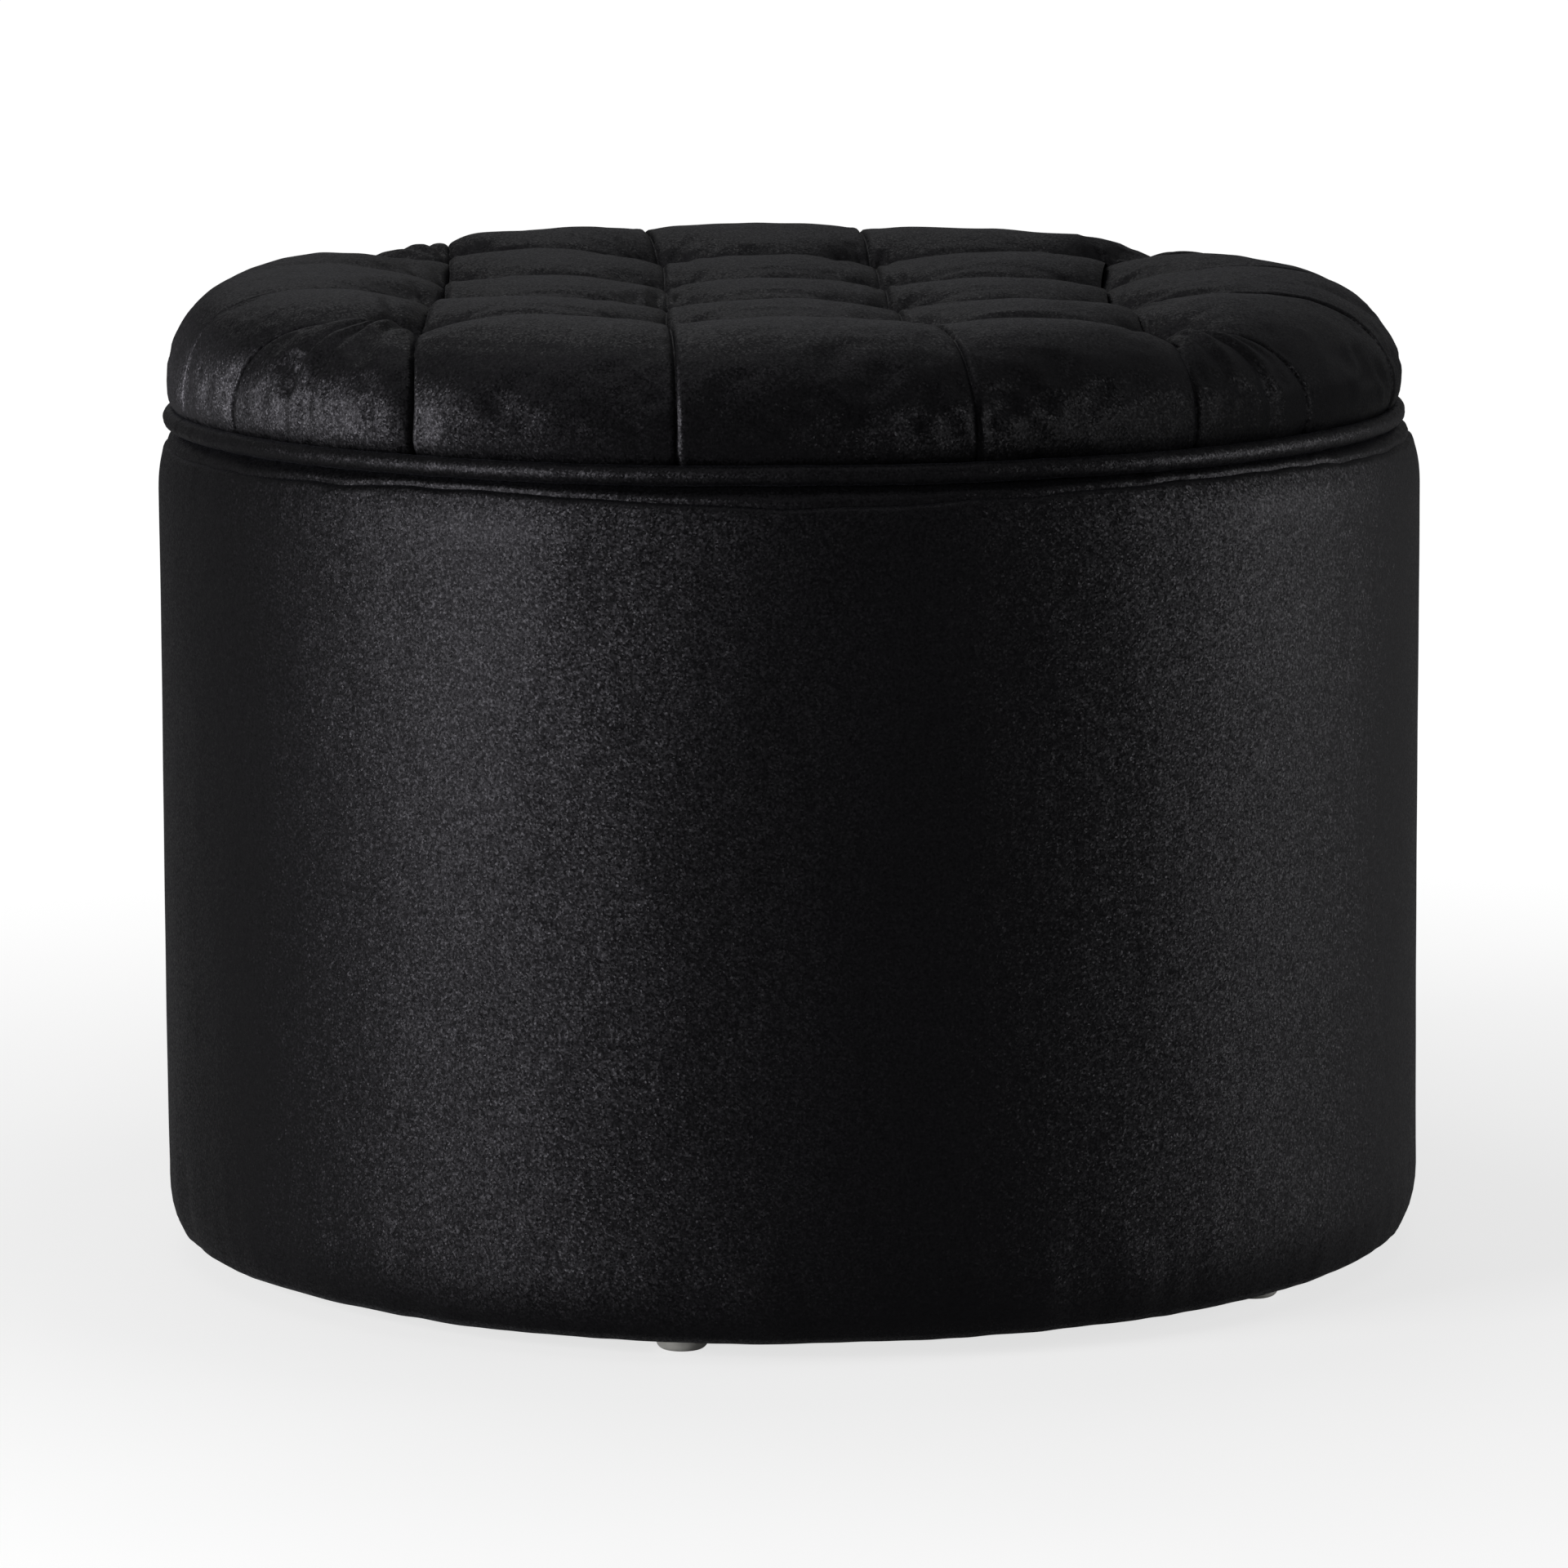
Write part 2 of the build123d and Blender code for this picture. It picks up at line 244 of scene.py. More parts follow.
def finer(values: Array, rows: int, columns: int) -> Array:
    """Fills a coarse grid in with smooth curves through its points.

    Args:
        values: Values with rows and columns as their first two axes.
        rows: Rows wanted.
        columns: Columns wanted.

    Returns:
        The finer grid.
    """
    for axis, count in ((0, rows), (1, columns)):
        size = values.shape[axis]
        along = np.linspace(0, size - 1, count)
        first = np.minimum(along.astype(int), size - 2)
        t = (along - first).reshape((-1, 1, 1) if axis == 0 else (1, -1, 1))
        near = (np.clip(first + k, 0, size - 1) for k in (-1, 0, 1, 2))
        a, b, c, d = (np.take(values, index, axis=axis) for index in near)
        square, cube = 2 * a - 5 * b + 4 * c - d, 3 * b - a - 3 * c + d
        values = 0.5 * (2 * b + (c - a) * t + square * t**2 + cube * t**3)
    return values


def bell(gap: Array, width: float | Array) -> Array:
    """A bell curve.

    Args:
        gap: Distances from its middle.
        width: Distance at which it is down to about a third.

    Returns:
        Values of 0 to 1.
    """
    return np.exp(-((gap / width) ** 2))


def groove(side: Array, width: float | Array, ridge: tuple[float, float, float]) -> Array:
    """A wrinkle's section: a groove with a low ridge beside it.

    Args:
        side: Distances from the groove's middle.
        width: Width of the groove.
        ridge: The ridge's height, place and width, as shares of the groove's depth and width.

    Returns:
        Depth, 1 in the groove's middle.
    """
    height, place, wide = ridge
    return bell(side, width) - height * bell(side - place * width, wide * width)


def turns(count: int) -> Array:
    """Even angles round a full turn.

    Args:
        count: Number of angles.

    Returns:
        The angles in radians.
    """
    return np.linspace(0, FULL_TURN, count, endpoint=False)


def corners(node: str) -> tuple[Array, Array]:
    """The box of a node of the frame.

    Args:
        node: Name of the node.

    Returns:
        Its low and its high corner in millimetres.
    """
    low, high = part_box(node)
    return np.array(low) / MM, np.array(high) / MM


@dataclass
class Draft:
    """Collects grids of points, in millimetres, into one mesh object.

    Attributes:
        name: Name of the object.
        points: Grids' points so far.
        quads: Faces so far.
        count: Number of points so far.
    """

    name: str
    points: list[Array] = field(default_factory=list)
    quads: list[Array] = field(default_factory=list)
    count: int = 0

    def grid(self, points: Array, wrap: bool = False, turn: bool = False) -> None:
        """Adds a grid.

        Args:
            points: Points with rows and columns as their first two axes.
            wrap: Whether the last column joins the first.
            turn: Whether the last row joins the first.
        """
        rows, columns = points.shape[:2]
        index = np.arange(rows * columns).reshape(rows, columns) + self.count
        if wrap:
            index = np.concatenate([index, index[:, :1]], axis=1)
        if turn:
            index = np.concatenate([index, index[:1]], axis=0)
        quads = (index[:-1, :-1], index[1:, :-1], index[1:, 1:], index[:-1, 1:])
        self.quads.append(np.stack(quads, axis=-1).reshape(-1, 4))
        self.points.append(points.reshape(-1, 3))
        self.count += rows * columns

    def build(self, material: Material, weld: float = 0.02) -> Thing:
        """Makes the object.

        Args:
            material: Finish of the object.
            weld: Distance within which points become one, in millimetres.

        Returns:
            The linked object.
        """
        mesh = bpy.data.meshes.new(self.name)
        places = np.concatenate(self.points) * MM
        mesh.from_pydata(places.tolist(), [], np.concatenate(self.quads).tolist())
        work = bmesh.new()
        work.from_mesh(mesh)
        bmesh.ops.remove_doubles(work, verts=work.verts, dist=weld * MM)
        bmesh.ops.dissolve_degenerate(work, dist=weld * MM * 0.1, edges=work.edges)
        bmesh.ops.recalc_face_normals(work, faces=work.faces)
        work.to_mesh(mesh)
        work.free()
        mesh.polygons.foreach_set("use_smooth", [True] * len(mesh.polygons))
        mesh.materials.append(material)
        made = bpy.data.objects.new(self.name, mesh)
        bpy.context.scene.collection.objects.link(made)
        LOG.info("%s: %d points, %d faces", self.name, len(mesh.vertices), len(mesh.polygons))
        return made


class Nodes:
    """Small helper that writes a material's node tree."""

    def __init__(self, name: str) -> None:
        """Starts a material.

        Args:
            name: Name of the material.
        """
        self.material = bpy.data.materials.new(name)
        self.material.use_nodes = True
        self.tree = self.material.node_tree
        self.shader = self.tree.nodes["Principled BSDF"]
        self.place = self.add("ShaderNodeTexCoord").outputs["Object"]

    def add(self, kind: str, **settings: object) -> bpy.types.Node:
        """Adds a node.

        Args:
            kind: Blender's name of the node's type.
            settings: Properties of the node.

        Returns:
            The node.
        """
        node = self.tree.nodes.new(kind)
        for key, value in settings.items():
            setattr(node, key, value)
        return node

    def join(self, source: Socket, target: Socket) -> None:
        """Links two sockets.

        Args:
            source: Output socket.
            target: Input socket.
        """
        self.tree.links.new(source, target)

    def vector(self, operation: str, *given: Socket | Sequence[float]) -> Socket:
        """Adds arithmetic with vectors.

        Args:
            operation: Blender's name of the operation.
            given: What it works on, as sockets or constants.

        Returns:
            The result.
        """
        node = self.add("ShaderNodeVectorMath", operation=operation)
        for socket, value in zip(node.inputs, given):
            if isinstance(value, Socket):
                self.join(value, socket)
            else:
                socket.default_value = value
        return node.outputs["Vector"]

    def apart(self, vector: Socket) -> bpy.types.bpy_prop_collection:
        """Splits a vector.

        Args:
            vector: Vector socket.

        Returns:
            Sockets of its X, Y and Z parts.
        """
        node = self.add("ShaderNodeSeparateXYZ")
        self.join(vector, node.inputs["Vector"])
        return node.outputs

    def cells(self, scale: float) -> bpy.types.Node:
        """Adds a pattern of cells over the object's place.

        Args:
            scale: Cells to the metre.

        Returns:
            The node.
        """
        node = self.add("ShaderNodeTexVoronoi")
        node.inputs["Scale"].default_value = scale
        self.join(self.place, node.inputs["Vector"])
        return node

    def noise(
        self, scale: float, detail: float = 3.0, stretch: Sequence[float] = (1, 1, 1), rough: float = 0.5
    ) -> Socket:
        """Adds a noise over the object's place.

        Args:
            scale: Noise scale, in waves to the metre.
            detail: Number of octaves.
            stretch: Factors on the three axes.
            rough: Weight of the finer octaves.

        Returns:
            The noise's value, of about 0.3 to 0.7.
        """
        mapping = self.add("ShaderNodeMapping")
        mapping.inputs["Scale"].default_value = tuple(stretch)
        self.join(self.place, mapping.inputs["Vector"])
        node = self.add("ShaderNodeTexNoise")
        for key, value in (("Scale", scale), ("Detail", detail), ("Roughness", rough)):
            node.inputs[key].default_value = value
        self.join(mapping.outputs["Vector"], node.inputs["Vector"])
        return node.outputs["Fac"]

    def ramp(self, value: Socket, stops: Iterable[tuple[float, Sequence[float]]]) -> Socket:
        """Turns a value into a colour.

        Args:
            value: Value socket.
            stops: Positions and linear colours.

        Returns:
            The colour socket.
        """
        node = self.add("ShaderNodeValToRGB")
        wanted = list(stops)
        while len(node.color_ramp.elements) < len(wanted):
            node.color_ramp.elements.new(0.5)
        for element, (position, colour) in zip(node.color_ramp.elements, wanted):
            element.position = position
            element.color = (*colour, 1.0)
        self.join(value, node.inputs["Fac"])
        return node.outputs["Color"]

    def remap(self, value: Socket, low: float, high: float) -> Socket:
        """Stretches a noise to a range.

        Args:
            value: Value socket, of about 0.3 to 0.7.
            low: Result at the range's low end.
            high: Result at its high end.

        Returns:
            The stretched value.
        """
        return self.span(value, NOISE_RANGE, (low, high))

    def span(
        self,
        value: Socket,
        given: tuple[float, float],
        wanted: tuple[float, float] = (0.0, 1.0),
        way: str = "LINEAR",
    ) -> Socket:
        """Steps from one value to another.

        Args:
            value: Value socket.
            given: Where the step starts and ends.
            wanted: Results there.
            way: Blender's name of the step's shape.

        Returns:
            The stepped value.
        """
        node = self.add("ShaderNodeMapRange", interpolation_type=way)
        for key, number in zip(("From Min", "From Max", "To Min", "To Max"), (*given, *wanted)):
            node.inputs[key].default_value = number
        self.join(value, node.inputs["Value"])
        return node.outputs["Result"]

    def blend(self, first: Socket, second: Socket, mode: str, share: float) -> Socket:
        """Mixes two colours.

        Args:
            first: Lower colour.
            second: Upper colour.
            mode: Blender's mixing mode.
            share: Share of the upper colour.

        Returns:
            The mixed colour.
        """
        node = self.add("ShaderNodeMix", data_type="RGBA", blend_type=mode)
        node.inputs["Factor"].default_value = share
        self.join(first, node.inputs["A"])
        self.join(second, node.inputs["B"])
        return node.outputs["Result"]

    def bump(self, layers: Iterable[tuple[Socket, float, float]], last: Socket | None = None) -> None:
        """Stacks bumps into the shader's normal.

        Args:
            layers: Heights with their strength and depth in metres.
            last: Normal that they start from, if not the surface's own.
        """
        for height, strength, depth in layers:
            node = self.add("ShaderNodeBump")
            node.inputs["Strength"].default_value = strength
            node.inputs["Distance"].default_value = depth
            self.join(height, node.inputs["Height"])
            if last is not None:
                self.join(last, node.inputs["Normal"])
            last = node.outputs["Normal"]
        if last is not None:
            self.join(last, self.shader.inputs["Normal"])

    def set(self, **values: object) -> None:
        """Sets constants on the shader.

        Args:
            values: Socket names with underscores for spaces, and values.
        """
        for key, value in values.items():
            self.shader.inputs[key.replace("_", " ")].default_value = value


@dataclass(frozen=True)
class Velvet:
    """Short-pile black velvet with brushed patches.

    Attributes:
        name: Name of the material.
        lie: How far the pile of upright parts leans sideways.
        shine: Gloss of upright parts where it varies, as places to the right in metres and levels.
        rub: Strength of the brushed patches.
        gloss: Gloss elsewhere.
        pile: Tufts of pile to the metre.
        spread: How far single tufts of pile point apart.
        dark: Colour where the pile stands up.
        light: Colour where it lies down.
    """

    name: str = "black_velvet"
    lie: float = 0.0
    shine: tuple[tuple[float, float], ...] = ()
    rub: float = 1.0
    gloss: float = 0.2
    pile: float = 1250
    spread: float = 0.38
    dark: Colour = (0.0006, 0.0006, 0.0006)
    light: Colour = (0.0020, 0.0019, 0.0023)

    def build(self) -> Material:
        """Writes the material.

        Returns:
            The material.
        """
        n = Nodes(self.name)
        patch = n.noise(11, 3, (1, 1, 0.55))
        grain = n.noise(900, 2, rough=0.6)
        speck = n.noise(430, 3, rough=0.7)
        colour = n.ramp(patch, [(0.34, self.dark), (0.68, self.light)])
        fleck = n.ramp(grain, [(0.38, (0.3, 0.3, 0.3)), (0.66, (1.0, 1.0, 1.0))])
        n.join(n.blend(colour, fleck, "MULTIPLY", 0.9), n.shader.inputs["Base Color"])
        n.join(n.remap(grain, 0.3, 0.66), n.shader.inputs["Roughness"])
        n.set(Specular_IOR_Level=self.gloss, Specular_Tint=(0.93, 0.90, 1.0, 1.0))
        n.set(Sheen_Weight=0.015, Sheen_Roughness=0.45, Sheen_Tint=(0.8, 0.82, 1.0, 1.0))
        brush = n.noise(38, 2, (1, 1, 0.45))
        brushing = [(patch, 0.5 * self.rub, 0.006), (brush, 0.25 * self.rub, 0.0026)]
        n.bump(brushing + [(speck, 0.1, 0.001)], self.sparkle(n))
        if self.shine:
            n.join(self.stroked(n), n.shader.inputs["Specular IOR Level"])
        return n.material

    def sparkle(self, n: Nodes) -> Socket:
        """Turns the normal of each tuft of pile a little its own way.

        Args:
            n: Node tree of the material.

        Returns:
            The turned normal.
        """
        away = n.vector("SUBTRACT", n.cells(self.pile).outputs["Color"], (0.5, 0.5, 0.5))
        part = n.vector("MULTIPLY", away, (self.spread, self.spread, self.spread))
        return n.vector("NORMALIZE", n.vector("ADD", self.brushed(n), part))

    def brushed(self, n: Nodes) -> Socket:
        """Leans the normal of upright parts sideways with the nap.

        Args:
            n: Node tree of the material.

        Returns:
            The leaning normal.
        """
        faces = n.add("ShaderNodeNewGeometry").outputs["Normal"]
        sideways = n.vector("CROSS_PRODUCT", (0, 0, self.lie), faces)
        return n.vector("NORMALIZE", n.vector("ADD", faces, sideways))

    def stroked(self, n: Nodes) -> Socket:
        """Gives upright parts the gloss of pile that is stroked flat at the left and up at the right.

        Args:
            n: Node tree of the material.

        Returns:
            The gloss.
        """
        rise = n.apart(n.add("ShaderNodeNewGeometry").outputs["Normal"])["Z"]
        across = n.apart(n.place)["X"]
        left, right = self.shine[0][0], self.shine[-1][0]
        stops = [((place - left) / (right - left), (level, level, level)) for place, level in self.shine]
        mixed = n.add("ShaderNodeMix", data_type="FLOAT")
        n.join(n.span(rise, (1.0, 0.1), way="SMOOTHSTEP"), mixed.inputs["Factor"])
        mixed.inputs["A"].default_value = self.gloss
        n.join(n.ramp(n.span(across, (left, right)), stops), mixed.inputs["B"])
        return mixed.outputs["Result"]


@dataclass(frozen=True)
class Wood:
    """Plain sawn wood or board with grain.

    Attributes:
        name: Name of the material.
        pale: Colour between the grain lines.
        deep: Colour of the grain lines.
        stretch: Grain factors on the three axes.
        rough: Roughness in the middle.
    """

    name: str
    pale: Colour
    deep: Colour
    stretch: tuple[float, float, float]
    rough: float = 0.6

    def build(self) -> Material:
        """Writes the material.

        Returns:
            The material.
        """
        n = Nodes(self.name)
        grain = n.noise(90, 6, self.stretch, 0.6)
        pores = n.noise(700, 3, self.stretch, 0.6)
        colour = n.ramp(grain, [(0.36, self.deep), (0.5, self.pale), (0.66, self.deep)])
        fleck = n.ramp(pores, [(0.36, (0.72, 0.7, 0.66)), (0.55, (1.0, 1.0, 1.0))])
        n.join(n.blend(colour, fleck, "MULTIPLY", 0.6), n.shader.inputs["Base Color"])
        n.join(n.remap(grain, self.rough - 0.1, self.rough + 0.12), n.shader.inputs["Roughness"])
        n.set(Specular_IOR_Level=0.35)
        n.bump([(grain, 0.25, 0.0006), (pores, 0.3, 0.0003)])
        return n.material


@dataclass(frozen=True)
class Cloth:
    """Plain thin cloth, woven or felted.

    Attributes:
        name: Name of the material.
        dark: Colour in the hollows.
        light: Colour of the threads.
        scale: Size of the grain, in waves to the metre.
        presses: Pressed dots to the metre.
    """

    name: str
    dark: Colour
    light: Colour
    scale: float = 900
    presses: float = 420

    def build(self) -> Material:
        """Writes the material.

        Returns:
            The material.
        """
        n = Nodes(self.name)
        fibre = n.noise(self.scale, 4, (1, 0.5, 1), 0.65)
        cloud = n.noise(22, 4)
        colour = n.ramp(fibre, [(0.36, self.dark), (0.66, self.light)])
        shade = n.ramp(cloud, [(0.3, (0.72, 0.72, 0.74)), (0.7, (1.0, 1.0, 1.0))])
        n.join(n.blend(colour, shade, "MULTIPLY", 0.7), n.shader.inputs["Base Color"])
        n.join(n.remap(fibre, 0.78, 0.95), n.shader.inputs["Roughness"])
        n.set(Specular_IOR_Level=0.2, Sheen_Weight=0.08)
        pressed = n.cells(self.presses).outputs["Distance"]
        n.bump([(pressed, 0.25, 0.0003), (fibre, 0.4, 0.0003)])
        return n.material


@dataclass(frozen=True)
class Moulded:
    """Moulded plastic, foam or zinc-plated steel.

    Attributes:
        name: Name of the material.
        dark: Darker colour.
        light: Lighter colour.
        scale: Size of the mottle, in waves to the metre.
        rough: Lowest and highest roughness.
        metal: Share of metal.
        depth: Depth of the bump in metres.
    """

    name: str
    dark: Colour
    light: Colour
    scale: float
    rough: tuple[float, float]
    metal: float = 0.0
    depth: float = 0.0002

    def build(self) -> Material:
        """Writes the material.

        Returns:
            The material.
        """
        n = Nodes(self.name)
        mottle = n.noise(self.scale, 4)
        fine = n.noise(self.scale * 9, 3)
        n.join(n.ramp(mottle, [(0.33, self.dark), (0.67, self.light)]), n.shader.inputs["Base Color"])
        n.join(n.remap(fine, *self.rough), n.shader.inputs["Roughness"])
        n.set(Metallic=self.metal, Specular_IOR_Level=0.5)
        n.bump([(fine, 0.35, self.depth)])
        return n.material


@dataclass
class Finishes:
    """Every finish of the ottoman, made once.

    Attributes:
        made: Materials by slot.
        brushed: Velvet of the lid, which is brushed another way.
    """

    made: dict[Slot, Material] = field(default_factory=dict)
    brushed: Material | None = None

    # Places to the right in metres and the gloss of the lid's stroked pile there.
    STROKED = ((-0.28, 1.0), (-0.23, 0.3), (-0.05, 0.3), (0.1, 0.04), (0.28, 0.04))

    def build(self) -> None:
        """Makes the materials."""
        plans = {
            Slot.VELVET: Velvet(),
            Slot.PLYWOOD: Wood("poplar_plywood", (0.58, 0.42, 0.26), (0.40, 0.27, 0.15), (1, 0.12, 1)),
            Slot.PINE: Wood("sawn_pine", (0.62, 0.42, 0.23), (0.42, 0.25, 0.12), (0.15, 1, 1)),
            Slot.HARDBOARD: Wood("hardboard", (0.25, 0.15, 0.08), (0.16, 0.09, 0.05), (1, 1, 1), 0.7),
            Slot.FOAM: Moulded(
                "pale_foam", (0.55, 0.52, 0.42), (0.72, 0.69, 0.58), 320, (0.85, 0.95), depth=0.0008
            ),
            Slot.LINING: Cloth("felt_lining", (0.006, 0.006, 0.007), (0.02, 0.02, 0.022)),
            Slot.GLIDE: Moulded("pale_plastic", (0.50, 0.49, 0.46), (0.64, 0.63, 0.60), 60, (0.32, 0.5)),
            Slot.CORD: Cloth("cotton_cord", (0.45, 0.42, 0.36), (0.68, 0.65, 0.58), 700),
            Slot.STEEL: Moulded("zinc_steel", (0.42, 0.43, 0.45), (0.62, 0.63, 0.65), 140, (0.25, 0.45), 1.0),
        }
        self.made = {slot: plan.build() for slot, plan in plans.items()}
        self.brushed = Velvet("brushed_black_velvet", 0.36, self.STROKED, 0.6).build()

    def of(self, slot: Slot) -> Material:
        """Gives a finish.

        Args:
            slot: Slot of the finish.

        Returns:
            The material.
        """
        return self.made[slot]


@dataclass(frozen=True)
class Pleat:
    """A fold from an outer tuft to the lid's edge.

    Attributes:
        row: Row of the tuft, from the front.
        column: Column of the tuft, from the left.
        angle: Where it reaches the edge, in degrees from the front towards the right.
        strength: How deep it is, 1 for a strong one.
    """

    row: int
    column: int
    angle: float
    strength: float


@dataclass(frozen=True)
class Fold:
    """A small fold in a corner fan.

    Attributes:
        share: Where it lies between the fan's two pleats.
        depth: Depth in millimetres.
        reach: Length from the tuft in millimetres.
    """

    share: float
    depth: float
    reach: float


@dataclass
class LidCushion:
    """The deep-tufted velvet top of the lid.

    Attributes:
        velvet: Finish of the cover.
        underside: Height of its flat underside, in millimetres.
        crest: Height of the outer roll.
        middle: Height of the inner pillows.
        tilt: Rise to the back over the lid's half width.
        lean: Fall to the right over the lid's half width.
        shift: How far the lid lies to the right of the drum's middle.
        row_sink: Depth of the round hollow along a row of tufts.
        row_cut: Depth of the sharp crease in it.
        column_sink: Depth of the round hollow along a column of tufts.
        column_cut: Depth of the sharp crease in it.
        pit: Depth of a tuft below the creases.
        corner_pit: The same for the four corner tufts.
        span: Points across a pillow.
        coarse: The same while the cover settles as cloth.
        slack: Share of length that the cloth has to spare.
        frames: Steps that it settles for.
        cap: How far settling may move a point, in millimetres.
        pressure: Pressure of the stuffing while it settles.
        stiffness: The cloth's stiffness against bending.
    """

    velvet: Material
    underside: float
    crest: float = 433.0
    middle: float = 428.5
    tilt: float = 3.4
    lean: float = 2.6
    shift: float = -2.0
    row_sink: float = 5.5
    row_cut: float = 2.8
    column_sink: float = 4.2
    column_cut: float = 1.2
    pit: float = 8.5
    corner_pit: float = 12.5
    span: int = 44
    coarse: int = 18
    slack: float = 0.008
    frames: int = 20
    cap: float = 2.0
    pressure: float = 4.0
    stiffness: float = 0.3

    # Middle distance between tufts, half of it, number of inner pillows and radius of the roll's crest.
    PITCH = 98.0
    HALF = 49.0
    INNER = 9
    CREST_RADIUS = 207.0
    # Height, seed and wavelength of the cover's unevenness.
    UNEVEN = ((0.35, 11, 46), (0.16, 12, 17))
    # Places of the tufts in plan, row by row from the front, and the numbers of the corner tufts.
    TUFTS = np.array(
        [
            [(-155, -147), (-50, -147), (53, -147), (156, -147)],
            [(-148, -49), (-51, -49), (47, -49), (143, -49)],
            [(-150, 49), (-53, 49), (44, 49), (141, 49)],
            [(-153, 146), (-56, 147), (41, 147), (151, 147)],
        ],
        dtype=float,
    )
    CORNERS = (0, 3, 12, 15)
    # Pleats in their order round the lid.
    PLEATS = (
        Pleat(0, 0, -35.1, 1.15),
        Pleat(0, 1, -9.3, 0.8),
        Pleat(0, 2, 17.0, 0.5),
        Pleat(0, 3, 39.5, 0.32),
        Pleat(0, 3, 55.0, 0.4),
        Pleat(1, 3, 77.0, 0.9),
        Pleat(2, 3, 98.0, 0.8),
        Pleat(3, 3, 114.0, 1.0),
        Pleat(3, 3, 133.0, 0.9),
        Pleat(3, 2, 173.0, 0.8),
        Pleat(3, 1, 195.0, 0.9),
        Pleat(3, 0, 216.0, 0.5),
        Pleat(3, 0, 241.0, 1.1),
        Pleat(2, 0, 266.0, 0.85),
        Pleat(1, 0, 287.0, 1.0),
        Pleat(0, 0, 300.0, 0.45),
    )
    # Folds of the corner fans, by the number of the pleat before them.
    FANS = {
        3: (Fold(0.3, 1.6, 80), Fold(0.62, 2.0, 115), Fold(0.82, 1.4, 70)),
        7: (Fold(0.2, 1.6, 80), Fold(0.42, 2.0, 95), Fold(0.6, 1.5, 70), Fold(0.8, 1.8, 85)),
        11: (Fold(0.18, 1.7, 75), Fold(0.36, 1.9, 90), Fold(0.58, 1.5, 70), Fold(0.8, 1.6, 90)),
        15: (Fold(0.12, 1.2, 60), Fold(0.36, 2.4, 120), Fold(0.5, 2.6, 120), Fold(0.74, 1.6, 70)),
    }
    # Dents in the cover laid flat, with their middle, depth and reach.
    DENTS = (
        (-190, 112, 7.0, 26), (-180, 144, 8.5, 20), (164, 150, 1.0, 15),
        (-148, 176, -3.5, 18), (140, 176, -2.5, 20), (238, 40, -2.0, 40),
    )
    # A pleat by its distance from the tuft: broad hollow, sharp crease, the crease's reach and the dark slit.
    STATIONS = (0, 25, 55, 95, 125, 190)
    BROAD = (1, 0.62, 0.34, 0.14, 0.06, 0.03)
    SHARP = (1, 1.9, 2.0, 1.3, 0.9, 0.8)
    REACH = (3, 7, 9, 5.5, 3.2, 2.6)
    SLIT = (0.4, 1.2, 2.0, 2.0, 1.5, 0.9)

    def outline(self) -> Profile:
        """The cover without its tufts, from its middle over the roll to the waist and underside.

        Returns:
            The outline.
        """
        low = self.underside
        top, inner = self.crest, self.middle
        shape = [
            (0, inner), (60, inner), (110, inner + 0.3), (140, inner + 1.2), (165, inner + 3),
            (185, top - 1), (205, top), (222, top - 0.8), (236, top - 3.2), (247, top - 6.8),
            (256, top - 11.5), (263, top - 18), (268.5, top - 26.5), (271.8, top - 35),
            (273.4, top - 44), (273.2, top - 51), (272.0, low + 9.5), (269.5, low + 6),
            (266.4, low + 3.4), (265.2, low + 1.2), (262, low), (250, low),
        ]
        return Profile.through(shape, 10)

    def relief(self, flat: Array, tufts: Array, plain: bool) -> Array:
        """Pits at the tufts, wrinkles round them and soft unevenness.

        Args:
            flat: Points of the cover laid flat, in millimetres.
            tufts: The tufts' places laid flat.
            plain: Whether the wrinkles are left out.

        Returns:
            Height to add along the normal.
        """
        x, y = flat[..., 0], flat[..., 1]
        lift = sum(height * Ripple(seed, wave).at(x, y) for height, seed, wave in self.UNEVEN)
        for middle_x, middle_y, depth, reach in self.DENTS:
            lift = lift - depth * np.exp(-((x - middle_x) ** 2 + (y - middle_y) ** 2) / reach**2)
        rng = np.random.default_rng(5)
        for number, place in enumerate(tufts.reshape(-1, 2)):
            away_x, away_y = x - place[0], y - place[1]
            away = np.hypot(away_x, away_y)
            depth = self.corner_pit if number in self.CORNERS else self.pit
            lift = lift - depth * np.exp(-((np.maximum(away - 5, 0) / 12) ** 1.1))
            if not plain:
                lift = lift - self.wrinkles(away, np.arctan2(away_y, away_x), rng)
        return lift

    def wrinkles(self, away: Array, bearing: Array, rng: np.random.Generator) -> Array:
        """Small bent wrinkles that run out from a tuft on all sides.

        Args:
            away: Distance from the tuft.
            bearing: Bearing from the tuft.
            rng: Source of their number, places and sizes.

        Returns:
            Their depth.
        """
        total = np.zeros_like(away)
        folds = int(rng.integers(9, 13))
        start = rng.uniform(0, FULL_TURN)
        for k in range(folds):
            heading = start + (k + rng.uniform(-0.3, 0.3)) * FULL_TURN / folds
            reach = rng.uniform(26, 66)
            depth = rng.uniform(0.5, 1.5)
            bend = rng.uniform(-0.35, 0.35)
            drift = bearing - heading - bend * (away - 14) / 50
            drift = (drift + math.pi) % FULL_TURN - math.pi
            fade = ease(away, 7, 15) * (1 - ease(away, 0.45 * reach, reach))
            section = groove(drift * away, 1.3 + 0.035 * away, (0.4, 2.3, 1.4))
            total = total + depth * fade * np.where(np.abs(drift) < 1.2, section, 0)
        return total

